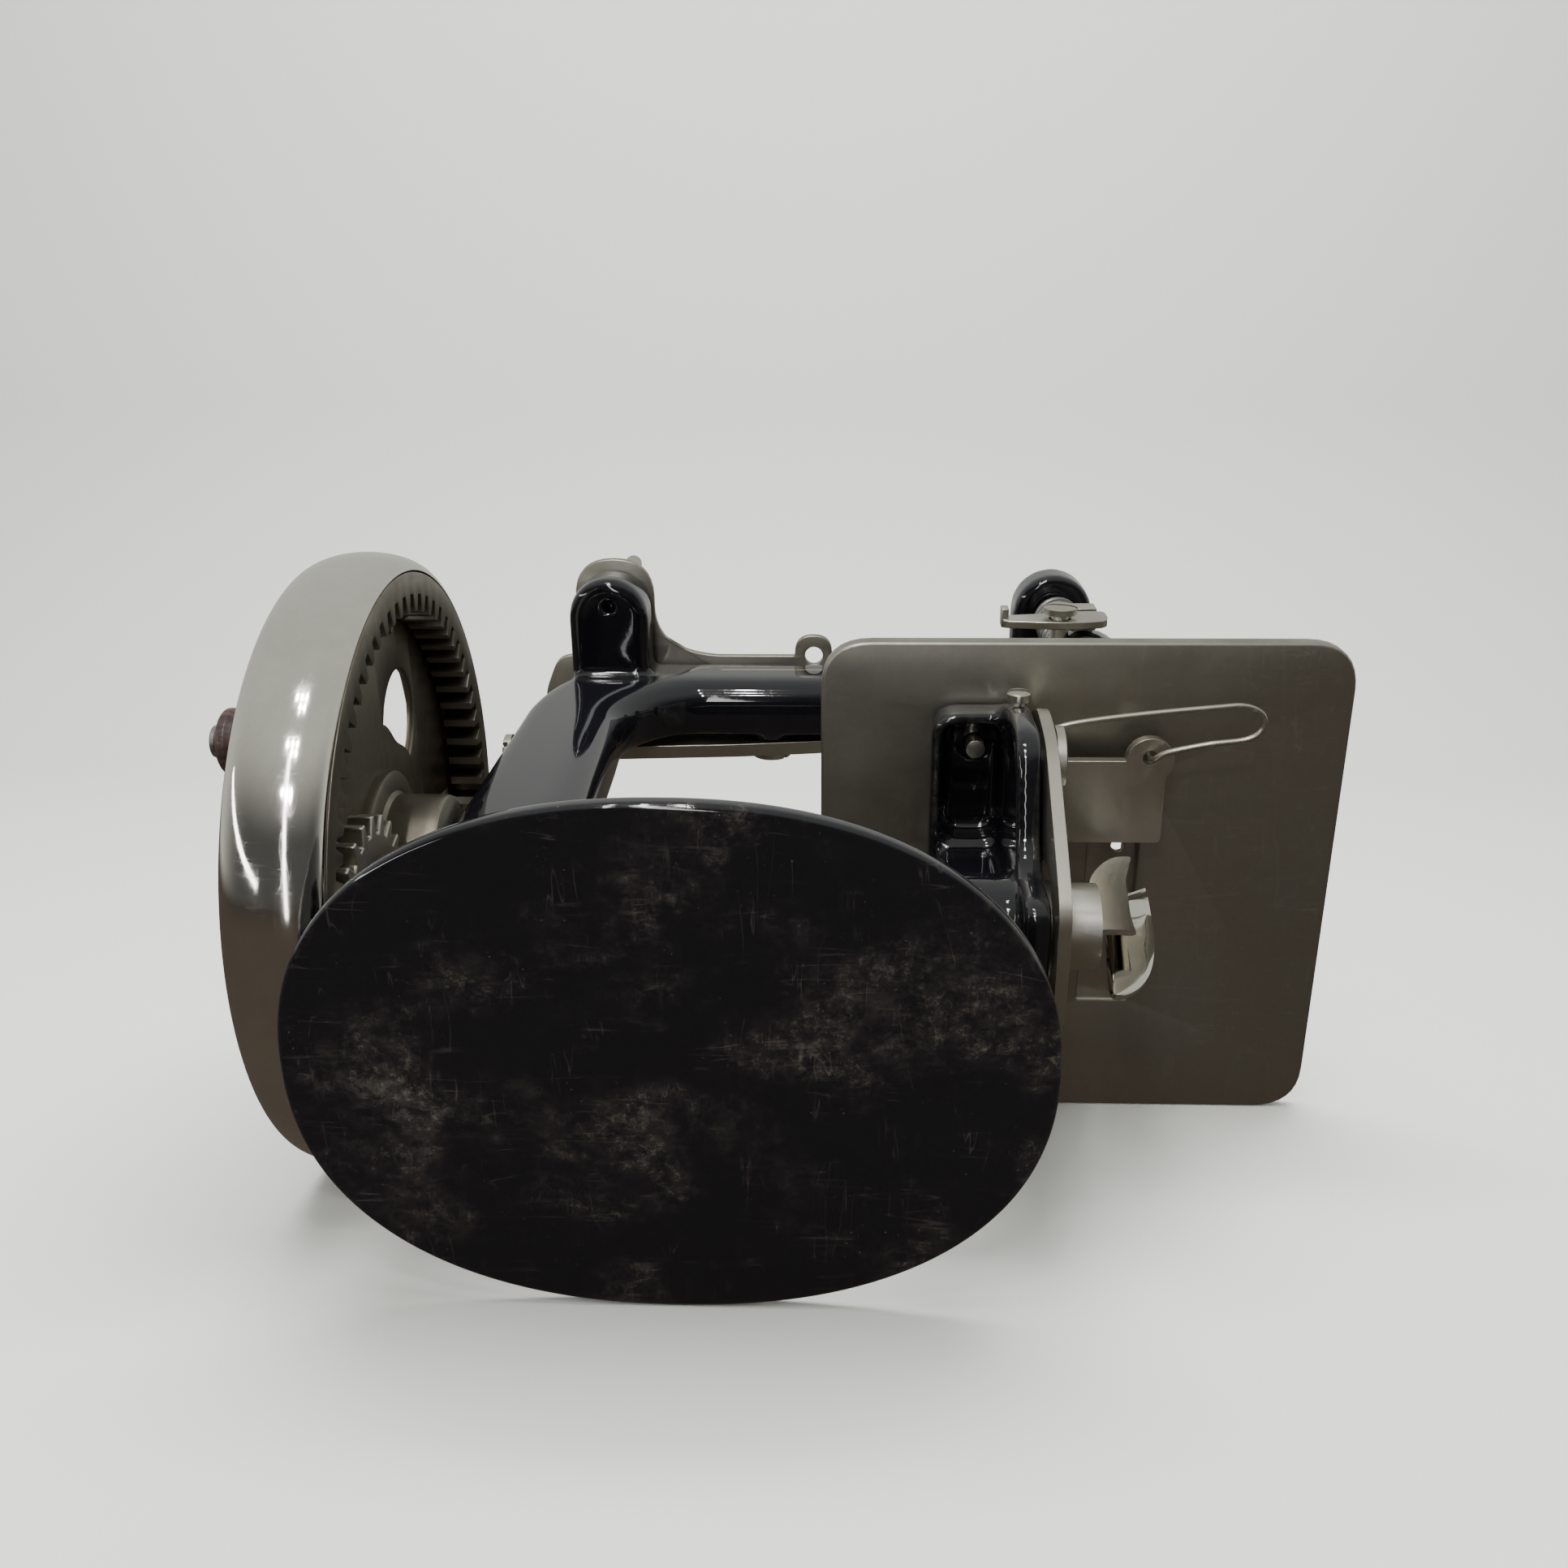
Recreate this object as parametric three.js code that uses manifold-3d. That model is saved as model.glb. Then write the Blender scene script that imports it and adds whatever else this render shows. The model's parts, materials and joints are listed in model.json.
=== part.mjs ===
// A toy hand-crank chain-stitch sewing machine.
// Millimetres, +Z up. The origin is the centre of the oval base's underside,
// -Y is the side the sewer sits at, and the hand wheel is on +X.

import * as THREE from 'three';
import { mergeVertices } from 'three/addons/utils/BufferGeometryUtils.js';
import Module from 'manifold-3d';

const wasm = await Module();
wasm.setup();

// ---------------------------------------------------------------- driving dimensions

const GAP = 0.3;                       // clearance between pieces that touch
const BASE = { halfX: 48.3, halfY: 36, power: 2.24, thick: 3 };
const COLUMN = { outer: 41.7, front: -5, back: 6.5 };
const ARM = { under: 133.5, top: 149.7, left: -58 };
const TABLE = { x0: -102.2, x1: -18, y0: -50.5, y1: 34.7, z0: 69.5, thick: 3, corner: 6.5 };
const FLANGE = { x0: -50, x1: -35.4, y0: -14, y1: 25, z0: 62.5, z1: 69.2 };
const TOP_PLATE = { z0: 150, thick: 1.5, front: -12, back: 7.8 };
const NEEDLE = { x: -67.4, y: -1 };
const PRESSER = { x: -65, y: 19 };
const SPOOL = { x: 26.8, y: 21.2, radius: 2.5, top: 180 };
const LEVER = { x: -6.5, z: 140, front: -9.5, thick: 2.8, tilt: 7.5 };
const ROD_X = 31;                      // the connecting rod and its crank
const MODULE = 1.3;                    // tooth size of the gear pair
const RING = { teeth: 63, x0: 47.6, x1: 52.8 };
const PINION = { teeth: 22, x0: 46.6, x1: 50.4 };
const WHEEL = { y: 0, z: 63.5, hub: 10, stud: 4 };
const centreDistance = (MODULE * (RING.teeth - PINION.teeth)) / 2;
const SHAFT = { y: 1.8, radius: 3 };
SHAFT.z = WHEEL.z - Math.sqrt(centreDistance ** 2 - (SHAFT.y - WHEEL.y) ** 2);
const MESH_ANGLE = Math.atan2(SHAFT.z - WHEEL.z, SHAFT.y - WHEEL.y);
const KNOB = { y: 27, z: 44 };
const FEED = { x: -52.4, thick: 1.8, pivotY: 22.3, pivotZ: 51 };

// ---------------------------------------------------------------- materials

const material = (color, roughness, metalness) =>
  new THREE.MeshStandardMaterial({ color, roughness, metalness });
const enamel = () => material(0x0c0c0f, 0.22, 0.1);
const nickel = () => material(0xa39c8e, 0.35, 0.95);
const brightNickel = () => material(0xcfcbc0, 0.12, 1.0);
const steel = () => material(0x77756f, 0.4, 0.95);
const brass = () => material(0xa8863f, 0.4, 0.95);
const wood = () => material(0x45201a, 0.45, 0.0);

// ---------------------------------------------------------------- outlines

const point = (x, y) => new THREE.Vector2(x, y);

// A closed outline through [x, y, radius] corners, each rounded by its radius, large ones more finely.
function roundedOutline(corners) {
  const points = corners.flatMap(([x, y, radius = 0], i) => {
    if (radius === 0) return [point(x, y)];
    const before = corners[(i + corners.length - 1) % corners.length];
    const after = corners[(i + 1) % corners.length];
    const here = point(x, y);
    const start = here.clone().add(point(before[0] - x, before[1] - y).setLength(radius));
    const end = here.clone().add(point(after[0] - x, after[1] - y).setLength(radius));
    return new THREE.QuadraticBezierCurve(start, here, end).getPoints(radius > 4.5 ? 7 : 3);
  });
  return new THREE.Shape(points);
}

const rectangle = (x0, y0, x1, y1, r = 0) =>
  roundedOutline([[x0, y0, r], [x1, y0, r], [x1, y1, r], [x0, y1, r]]);

function arcPoints(x, y, radius, from, to, steps) {
  return Array.from({ length: steps + 1 }, (_, i) => {
    const angle = from + ((to - from) * i) / steps;
    return point(x + radius * Math.cos(angle), y + radius * Math.sin(angle));
  });
}

// A round-ended strip from y0 to a half circle whose crest is at y1.
const tongue = (x, halfWidth, y0, y1) => new THREE.Shape([
  point(x - halfWidth, y0),
  point(x + halfWidth, y0),
  ...arcPoints(x, y1 - halfWidth, halfWidth, 0, Math.PI, 12),
]);

const disc = (x, y, radius) => new THREE.Shape(arcPoints(x, y, radius, 0, (23 / 12) * Math.PI, 23));

// A gear outline: four points to a tooth, at the root and tip radii.
function gearOutline(teeth, inner, outer, innerShare, outerShare, turn) {
  const points = [];
  const pitch = (2 * Math.PI) / teeth;
  for (let i = 0; i < teeth; i += 1) {
    const middle = turn + i * pitch;
    const corners = [[inner, -innerShare], [outer, -outerShare], [outer, outerShare], [inner, innerShare]];
    for (const [radius, share] of corners) {
      const angle = middle + share * pitch;
      points.push(point(radius * Math.cos(angle), radius * Math.sin(angle)));
    }
  }
  return new THREE.Shape(points);
}

// ---------------------------------------------------------------- solids

// Frames that carry an outline drawn in (u, v) and pushed along w to each plane.
const along = {
  x: new THREE.Matrix4().makeBasis(new THREE.Vector3(0, 1, 0), new THREE.Vector3(0, 0, 1),
    new THREE.Vector3(1, 0, 0)),
  y: new THREE.Matrix4().makeBasis(new THREE.Vector3(1, 0, 0), new THREE.Vector3(0, 0, 1),
    new THREE.Vector3(0, -1, 0)),
  z: new THREE.Matrix4(),
};

function solid(geometry) {
  const bare = geometry.clone();
  for (const name of Object.keys(bare.attributes)) {
    if (name !== 'position') bare.deleteAttribute(name);
  }
  const merged = mergeVertices(bare, 1e-4);
  return new wasm.Manifold(new wasm.Mesh({
    numProp: 3,
    vertProperties: new Float32Array(merged.attributes.position.array),
    triVerts: new Uint32Array(merged.index.array),
  }));
}

function geometryOf(body) {
  const mesh = body.getMesh();
  const geometry = new THREE.BufferGeometry();
  geometry.setAttribute('position', new THREE.BufferAttribute(mesh.vertProperties, 3));
  geometry.setIndex(new THREE.BufferAttribute(mesh.triVerts, 1));
  geometry.computeVertexNormals();
  return geometry;
}

// An outline pushed from a to b along an axis, with an optional rounded edge.
// Along x the outline is (y, z), along y it is (x, z), along z it is (x, y).
function push(axis, outline, a, b, edge = 0) {
  const geometry = new THREE.ExtrudeGeometry(outline, {
    depth: b - a - 2 * edge,
    bevelEnabled: edge > 0,
    bevelThickness: edge,
    bevelSize: edge,
    bevelOffset: -edge,
    bevelSegments: 1,
  });
  const start = { x: a + edge, y: -(b - edge), z: a + edge }[axis];
  geometry.translate(0, 0, start);
  geometry.applyMatrix4(along[axis]);
  return solid(geometry);
}

const block = (x0, x1, y0, y1, z0, z1) => push('z', rectangle(x0, y0, x1, y1), z0, z1);

// A round bar along an axis. Its centre is (y, z), (x, z) or (x, y).
function bar(axis, u, v, radius, a, b, sides = 16) {
  const geometry = new THREE.CylinderGeometry(radius, radius, b - a, sides);
  geometry.rotateX(Math.PI / 2);
  const middle = (a + b) / 2;
  geometry.applyMatrix4(new THREE.Matrix4().makeTranslation(u, v, axis === 'y' ? -middle : middle));
  geometry.applyMatrix4(along[axis]);
  return solid(geometry);
}

// A turned piece from [radius, distance] points, turned about an axis through (u, v).
function turned(axis, u, v, profile, sides = 20) {
  const geometry = new THREE.LatheGeometry(profile.map(([r, d]) => point(r, d)), sides);
  geometry.rotateX(Math.PI / 2);
  if (axis === 'y') geometry.rotateX(Math.PI);
  geometry.applyMatrix4(new THREE.Matrix4().makeTranslation(u, v, 0));
  geometry.applyMatrix4(along[axis]);
  return solid(geometry);
}

// A round wire of constant radius swept along a curve.
function wire(points, radius, steps) {
  const curve = new THREE.CatmullRomCurve3(points.map((p) => new THREE.Vector3(...p)));
  const section = new THREE.Shape();
  const sides = 6;
  for (let i = 0; i < sides; i += 1) {
    const angle = (2 * Math.PI * i) / sides;
    const corner = [radius * Math.cos(angle), radius * Math.sin(angle)];
    if (i === 0) section.moveTo(...corner);
    else section.lineTo(...corner);
  }
  section.closePath();
  return solid(new THREE.ExtrudeGeometry(section, { steps, extrudePath: curve }));
}

const join = (...bodies) => bodies.reduce((a, b) => a.add(b));
const cut = (body, ...tools) => tools.reduce((a, b) => a.subtract(b), body);

// ---------------------------------------------------------------- the assembly

const group = new THREE.Group();

function add(name, body, finish) {
  const mesh = new THREE.Mesh(geometryOf(body), finish);
  mesh.name = name;
  group.add(mesh);
}

// ---- frame casting: base, column, arm, head and left post

function baseSlab() {
  const steps = 56;
  const points = [];
  for (let i = 0; i < steps; i += 1) {
    const angle = (2 * Math.PI * i) / steps;
    const c = Math.cos(angle);
    const s = Math.sin(angle);
    points.push(point(
      BASE.halfX * Math.sign(c) * Math.abs(c) ** (2 / BASE.power),
      BASE.halfY * Math.sign(s) * Math.abs(s) ** (2 / BASE.power),
    ));
  }
  return push('z', new THREE.Shape(points), 0, BASE.thick, 0.9);
}

function columnAndArm() {
  const profile = roundedOutline([
    [11, 2.4, 0], [COLUMN.outer, 2.4, 0], [COLUMN.outer, 70, 20], [41.1, 112, 15], [37.2, ARM.top, 9],
    [ARM.left, ARM.top, 3], [ARM.left, ARM.under, 0], [22.4, ARM.under, 15], [22.4, 100, 10],
    [20.3, 62, 10], [20.3, 14, 9],
  ]);
  return push('y', profile, COLUMN.front, COLUMN.back, 1.2);
}

function spoolLug() {
  return push('z', tongue(27.2, 8.2, 3, 27), 139.5, ARM.top, 0.8);
}

function head() {
  const back = block(-73.6, -56.5, 3.6, 11, 98, ARM.top);
  const lugs = [[98, 105], [141, ARM.top]].flatMap(([z0, z1]) => [
    push('z', rectangle(-73.6, -7, -57.6, 6, 3), z0, z1, 0.6),
    push('z', tongue(-64.6, 8, 8, 27.4), z0, z1, 0.6),
  ]);
  return join(back, ...lugs);
}

function post() {
  const rib = push('x', roundedOutline([
    [-12, 24, 4], [11, 24, 4], [11, 38, 6], [28.5, 44, 5], [28.5, 57, 4],
    [FLANGE.y1, FLANGE.z1, 2], [FLANGE.y0, FLANGE.z1, 2],
  ]), FLANGE.x0, -46.3);
  const flange = push('z', rectangle(FLANGE.x0, FLANGE.y0, FLANGE.x1, FLANGE.y1, 4),
    FLANGE.z0, FLANGE.z1, 0.8);
  const body = push('y', roundedOutline([
    [-44.5, 2.4, 0], [-33, 2.4, 0], [-36.5, 12, 6], [-36.5, 64, 0], [-47.5, 64, 0], [-47.5, 26, 6],
  ]), -11, 2.5, 0);
  const recess = push('z', rectangle(-46, 3.6, -37, 23.4, 3), 60, 66.2);
  const keel = block(-37, 21, -3.5, 5.5, 2.4, 11);
  return join(cut(join(rib, flange), recess), body, keel);
}

function frameCasting() {
  const shaftBosses = [[-49.9, -34.6], [19.6, 26.6], [35.6, 42.6]].map(([a, b]) =>
    bar('x', SHAFT.y, SHAFT.z, 7.6, a, b));
  const leverBoss = bar('y', LEVER.x, LEVER.z, 5.2, -6.4, 0);
  const crankWindow = block(26.6, 35.6, -9, 11, 19, 57);
  const rodPocket = block(26.6, 35.6, -9, 4.4, 56, 64);
  const body = join(baseSlab(), columnAndArm(), spoolLug(), head(), post(), ...shaftBosses, leverBoss);
  const holes = [
    crankWindow,
    rodPocket,
    bar('x', SHAFT.y, SHAFT.z, 4.9, -51, -34),
    bar('x', SHAFT.y, SHAFT.z, 4.9, 34, 43),
    bar('x', SHAFT.y, SHAFT.z, SHAFT.radius + GAP + 0.1, 19, 28),
    bar('x', WHEEL.y, WHEEL.z, WHEEL.stud + GAP, 30, 43),
    bar('y', LEVER.x, LEVER.z, 1.6 + GAP, -8, 2),
    bar('z', SPOOL.x, SPOOL.y, SPOOL.radius + GAP, 138, 152),
    bar('z', NEEDLE.x, NEEDLE.y, 2.2 + GAP, 96, 152),
    bar('z', PRESSER.x, PRESSER.y, 2 + GAP, 96, 152),
    bar('z', -42.4, 18.8, 1.5 + GAP, 60, 71),
    bar('z', -42.4, -8.5, 1.5 + GAP, 57, 71),
    bar('x', FEED.pivotY, FEED.pivotZ, 1.5 + GAP, -51, -45),
    bar('y', -60, 101.5, 1.5 + GAP, 12, 30),
    bar('y', -48.2, 60, 1 + GAP, 18, 30),
    bar('z', -48, 2, 1.2 + GAP, 142, 152),
    bar('z', 33, -1, 1.2 + GAP, 142, 152),
    bar('x', 1, 110, 1.5 + GAP, 34, 43),
    bar('z', -20, -3.4, 1.5 + GAP, 140, 152),
  ];
  return cut(body, ...holes);
}

add('frame_casting', frameCasting(), enamel());

// ---- screws: a round slotted head on a plain shank

function screw(axis, u, v, headRadius, shankRadius, headEnd, headStart, shankEnd) {
  const low = Math.min(headEnd, headStart);
  const high = Math.max(headEnd, headStart);
  const shank = bar(axis, u, v, shankRadius, Math.min(shankEnd, low + 0.2),
    Math.max(shankEnd, high - 0.2), 16);
  const slotDepth = 0.35 * (high - low);
  const slotLow = headEnd > headStart ? headEnd - slotDepth : headEnd - 1;
  const slotHigh = headEnd > headStart ? headEnd + 1 : headEnd + slotDepth;
  const slot = push(axis, rectangle(u - headRadius - 1, v - 0.4, u + headRadius + 1, v + 0.4),
    slotLow, slotHigh);
  return cut(join(bar(axis, u, v, headRadius, low, high), shank), slot);
}

// ---- work table, needle plate and their screws

const TABLE_TOP = TABLE.z0 + TABLE.thick;
const NEEDLE_PLATE = { x0: -73.5, x1: -59, y0: -32, y1: 15.5, z0: 71.5 };

function workTable() {
  const slab = push('z', rectangle(TABLE.x0, TABLE.y0, TABLE.x1, TABLE.y1, TABLE.corner),
    TABLE.z0, TABLE_TOP, 0.7);
  const p = NEEDLE_PLATE;
  return cut(slab,
    block(-70.3, -62.1, -29, 12, 60, 80),
    block(p.x0 - GAP, p.x1 + GAP, p.y0 - GAP, p.y1 + GAP, p.z0 - GAP, 80),
    ...[18.8, -8.5].flatMap((y) => [
      bar('z', -42.4, y, 1.5 + GAP, 60, 80),
      bar('z', -42.4, y, 3.2 + GAP, 71, 80),
    ]));
}

function needlePlate() {
  const p = NEEDLE_PLATE;
  return cut(push('z', rectangle(p.x0, p.y0, p.x1, p.y1, 1.5), p.z0, TABLE_TOP),
    bar('z', NEEDLE.x, NEEDLE.y, 1.1, 70, 80, 16),
    ...[-69.6, -64.6].map((x) => block(x, x + 1.4, 1.6, 11, 70, 80)));
}

add('work_table', workTable(), nickel());
add('needle_plate', needlePlate(), nickel());
[['table_screw_rear', 18.8], ['table_screw_front', -8.5]].forEach(([name, y]) => {
  add(name, screw('z', -42.4, y, 3.2, 1.5, TABLE_TOP, 71.3, 64), nickel());
});

// ---- top plate, spool pin and thread tension

const PLATE_TOP = TOP_PLATE.z0 + TOP_PLATE.thick;
const TENSION = { x: -20, y: -3.4 };

function topPlate() {
  const { front, back } = TOP_PLATE;
  const strip = roundedOutline([
    [-52, front, 4], [38, front, 4], [44.4, -3, 5], [40, back, 5], [-52, back, 4],
  ]);
  const flare = roundedOutline([[12, 0, 0], [38, 0, 0], [35.6, 16, 6], [18.7, 16, 7]]);
  return cut(
    join(
      push('z', strip, TOP_PLATE.z0, PLATE_TOP),
      push('z', flare, TOP_PLATE.z0, PLATE_TOP),
      push('z', tongue(27.1, 8.4, 2, 28.9), TOP_PLATE.z0, PLATE_TOP),
      push('z', tongue(-15.2, 3.9, 2, 12.3), TOP_PLATE.z0, PLATE_TOP),
    ),
    bar('z', -15.3, 7.8, 1.9, 145, 155),
    bar('z', SPOOL.x, SPOOL.y, SPOOL.radius + GAP, 145, 155),
    bar('z', TENSION.x, TENSION.y, 1.5 + GAP, 145, 155),
    bar('z', -48, 2, 1.2 + GAP, 145, 155),
    bar('z', 33, -1, 1.2 + GAP, 145, 155),
  );
}

add('top_plate', topPlate(), nickel());
add('top_plate_screw_left', screw('z', -48, 2, 2.6, 1.2, 153.2, 151.8, 144), nickel());
add('top_plate_screw_right', screw('z', 33, -1, 2.6, 1.2, 153.2, 151.8, 144), nickel());
add('spool_pin', turned('z', SPOOL.x, SPOOL.y,
  [[0, 140], [SPOOL.radius, 140], [SPOOL.radius, 170], [1.9, 178], [0, SPOOL.top]], 20), nickel());

add('tension_post', bar('z', TENSION.x, TENSION.y, 1.5, 142, 168, 16), nickel());
add('tension_disc_lower', turned('z', TENSION.x, TENSION.y, [
  [1.85, 151.9], [4.4, 151.9], [5.6, 151.8], [5.6, 152.3], [4.4, 152.5], [1.85, 152.5], [1.85, 151.9],
], 20), nickel());
add('tension_disc_upper', turned('z', TENSION.x, TENSION.y, [
  [1.85, 152.9], [4.4, 152.9], [5.6, 153.1], [5.6, 153.6], [4.4, 153.5], [1.85, 153.5], [1.85, 152.9],
], 20), nickel());

// A helix of round wire about a vertical line, from z0 up to z1.
function coil(x, y, radius, wireRadius, z0, z1, turns, stepsPerTurn = 12) {
  const count = turns * stepsPerTurn;
  const points = [];
  for (let i = 0; i <= count; i += 1) {
    const angle = (2 * Math.PI * i) / stepsPerTurn;
    points.push([x + radius * Math.cos(angle), y + radius * Math.sin(angle), z0 + ((z1 - z0) * i) / count]);
  }
  return wire(points, wireRadius, count);
}

add('tension_spring', coil(TENSION.x, TENSION.y, 2.9, 0.35, 154.3, 160.6, 4, 8), steel());
add('tension_nut', cut(turned('z', TENSION.x, TENSION.y, [
  [0, 161.3], [3.4, 161.3], [3.9, 162], [3.9, 165.4], [3.2, 166.2], [0, 166.2],
], 20), bar('z', TENSION.x, TENSION.y, 1.5 + GAP, 160, 167)), nickel());

// ---- needle lever, its pivot screw and the connecting rod

const tilt = THREE.MathUtils.degToRad(LEVER.tilt);
const LEVER_BACK = LEVER.front + LEVER.thick;

// A point of the lever, drawn level about its pivot and then tilted nose up.
const leverPoint = (x, z) => [
  LEVER.x + x * Math.cos(tilt) + z * Math.sin(tilt),
  LEVER.z - x * Math.sin(tilt) + z * Math.cos(tilt),
];
const STUD_Z = 134;                    // height of the needle bar's driving stud at rest
const ROD_TOP = leverPoint(ROD_X - LEVER.x, 0);

function needleLever() {
  const nose = NEEDLE.x - LEVER.x;
  const corners = [
    [ROD_X - LEVER.x + 4, -3, 3], [ROD_X - LEVER.x + 4, 3, 3], [8, 4, 3], [-8, 4, 3], [-40, 3, 4],
    [nose + 4, -9, 4], [nose - 4, -10, 0], [nose - 4, -18, 0], [nose + 5, -18, 3], [-38, -3, 6],
    [-8, -5, 3], [8, -5, 3],
  ].map(([x, z, r]) => [...leverPoint(x, z), r]);
  const stud = NEEDLE.x;
  return cut(push('y', roundedOutline(corners), LEVER.front, LEVER_BACK),
    bar('y', LEVER.x, LEVER.z, 2.4 + GAP, -12, -4),
    bar('y', ROD_TOP[0], ROD_TOP[1], 1.6 + GAP, -12, -4),
    push('y', rectangle(stud - 7.4, STUD_Z - 2.1, stud + 2.6, STUD_Z + 2.1), -12, -4));
}

add('needle_lever', needleLever(), nickel());
add('lever_pivot_screw', join(
  screw('y', LEVER.x, LEVER.z, 4, 1.6, -11.4, -9.8, 0),
  bar('y', LEVER.x, LEVER.z, 2.4, -9.9, -6.7),
), steel());

const ROD = { thick: 2.2, width: 5 };
const SADDLE = { inner: 7, outer: 9.4 };

// The rod hangs from the lever in front of the column, steps back into the
// column's window and ends in a half strap over the crank, with no cap below.
function connectingRod() {
  const front = LEVER.front - GAP - ROD.thick;
  const [x0, x1] = [ROD_X - ROD.thick / 2, ROD_X + ROD.thick / 2];
  const eye = bar('y', ROD_TOP[0], ROD_TOP[1], 4, front, front + ROD.thick);
  const shank = block(ROD_X - ROD.width / 2, ROD_X + ROD.width / 2, front, front + ROD.thick,
    46, ROD_TOP[1]);
  const step = block(x0, x1, front, SHAFT.y + 2, 46, 50);
  const stem = block(x0, x1, SHAFT.y - 2, SHAFT.y + 2, 45, 50);
  const strap = push('x', new THREE.Shape([
    ...arcPoints(SHAFT.y, SHAFT.z, SADDLE.outer, 0.5, Math.PI - 0.5, 12),
    ...arcPoints(SHAFT.y, SHAFT.z, SADDLE.inner, 0.5, Math.PI - 0.5, 12).reverse(),
  ]), x0, x1);
  return cut(join(eye, shank, step, stem, strap),
    bar('y', ROD_TOP[0], ROD_TOP[1], 1.6 + GAP, -20, -4));
}

add('connecting_rod', connectingRod(), steel());
add('rod_pin', screw('y', ROD_TOP[0], ROD_TOP[1], 3, 1.6, -13.6, -12.3, -6), steel());

// ---- needle bar, clamp and needle

const bore = (radius) => radius + GAP;
const CLAMP = { z0: 90.6, z1: 97.6, screwZ: 92.6 };
add('needle_bar', cut(
  join(
    bar('z', NEEDLE.x, NEEDLE.y, 2.2, CLAMP.z1 - 3.4, 168),
    bar('y', NEEDLE.x, STUD_Z, 1.5, -9.6, NEEDLE.y, 16),
    bar('z', NEEDLE.x, NEEDLE.y, 3.3, STUD_Z - 3, STUD_Z + 3),
  ),
  bar('z', NEEDLE.x, NEEDLE.y, 0.7 + GAP, 88, CLAMP.z1 + 1.5, 16),
), brightNickel());
add('needle_clamp', cut(
  join(
    turned('z', NEEDLE.x, NEEDLE.y, [
      [0, CLAMP.z0], [3.4, CLAMP.z0], [4, CLAMP.z0 + 1], [4, CLAMP.z1 - 1], [3.4, CLAMP.z1], [0, CLAMP.z1],
    ], 24),
    block(NEEDLE.x - 6.6, NEEDLE.x, NEEDLE.y - 2, NEEDLE.y + 2, CLAMP.screwZ - 2, CLAMP.screwZ + 2),
  ),
  bar('z', NEEDLE.x, NEEDLE.y, bore(2.2), CLAMP.z1 - 3.7, CLAMP.z1 + 1),
  bar('z', NEEDLE.x, NEEDLE.y, 0.7 + GAP, CLAMP.z0 - 1, CLAMP.z1 + 1, 16),
  bar('x', NEEDLE.y, CLAMP.screwZ, 1.1 + GAP, -76, NEEDLE.x - 2, 16),
), nickel());
add('needle_clamp_screw', join(
  bar('x', NEEDLE.y, CLAMP.screwZ, 1.1, -76, NEEDLE.x - 3.4, 16),
  bar('x', NEEDLE.y, CLAMP.screwZ, 3.2, -80, -75.6),
), nickel());
add('needle', turned('z', NEEDLE.x, NEEDLE.y,
  [[0, 75], [0.35, 77], [0.45, 87], [0.7, 88.5], [0.7, CLAMP.z1 + 0.5], [0, CLAMP.z1 + 0.5]], 12),
brightNickel());

// ---- presser bar, spring, foot and lifter

const FOOT_UNDER = TABLE_TOP + 0.4;
const COLLAR = { z0: 107.5, z1: 114.5 };
const LIFTER = { x: -60, z: 101.5, y0: 28.4, y1: 29.8 };

add('presser_bar', bar('z', PRESSER.x, PRESSER.y, 2, FOOT_UNDER + 2.4, 162), brightNickel());
add('presser_collar', cut(
  join(
    bar('z', PRESSER.x, PRESSER.y, 5, COLLAR.z0, COLLAR.z1),
    block(PRESSER.x - 2.5, PRESSER.x + 2.5, PRESSER.y, LIFTER.y1, COLLAR.z0, COLLAR.z0 + 4),
  ),
  bar('z', PRESSER.x, PRESSER.y, bore(2), 100, 120),
), nickel());
add('presser_spring', coil(PRESSER.x, PRESSER.y, 4.1, 0.6, 115.6, 139.9, 9, 8), steel());

function presserFoot() {
  const sole = cut(
    push('z', roundedOutline([
      [-72, -9, 2], [-62.8, -9, 2], [-62.8, 12, 3], [-72, 12, 3],
    ]), FOOT_UNDER, FOOT_UNDER + 1.6),
    push('z', rectangle(NEEDLE.x - 1.1, -12, NEEDLE.x + 1.1, NEEDLE.y + 1.8, 0.5), 70, 80),
  );
  const ankle = push('x', roundedOutline([
    [9, FOOT_UNDER + 0.4, 0], [12, FOOT_UNDER + 0.4, 0], [17, 84, 3], [22.4, 84, 0], [22.4, 90, 1],
    [15.6, 90, 2], [13, 84, 3],
  ]), PRESSER.x - 3.4, PRESSER.x + 3.4);
  const socket = bar('z', PRESSER.x, PRESSER.y, 4, 83, 91);
  return cut(join(sole, ankle, socket), bar('z', PRESSER.x, PRESSER.y, bore(2), 60, 100));
}

add('presser_foot', presserFoot(), nickel());

function presserLifter() {
  const plate = roundedOutline([
    [-49.5, 99.6, 1.4], [-49.5, 103.2, 1.4], [LIFTER.x + 3, 104.4, 2], [-64.6, 106.2, 1],
    [-68.6, 106.2, 1.4], [-68.6, 99.4, 3], [-60, 98.4, 3],
  ]);
  const thumb = block(-50.8, -49.5, LIFTER.y0, LIFTER.y1 + 2, 100, 102.8);
  return cut(join(push('y', plate, LIFTER.y0, LIFTER.y1), thumb),
    bar('y', LIFTER.x, LIFTER.z, 1.7 + GAP, 26, 33));
}

add('presser_lifter', presserLifter(), nickel());
add('lifter_pivot_screw', join(
  screw('y', LIFTER.x, LIFTER.z, 2.4, 1.7, 31.2, 30.1, 27.7),
  bar('y', LIFTER.x, LIFTER.z, 1.5, 13, 28),
), steel());

// ---- main shaft and what turns with it

const onShaft = (radius, x0, x1, sides = 20) => bar('x', SHAFT.y, SHAFT.z, radius, x0, x1, sides);
const shaftBore = (x0, x1) => onShaft(SHAFT.radius + GAP, x0, x1);
const CRANK = { throw: 3.75, pin: 2, x0: 27.4, x1: 29.2 };

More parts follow.
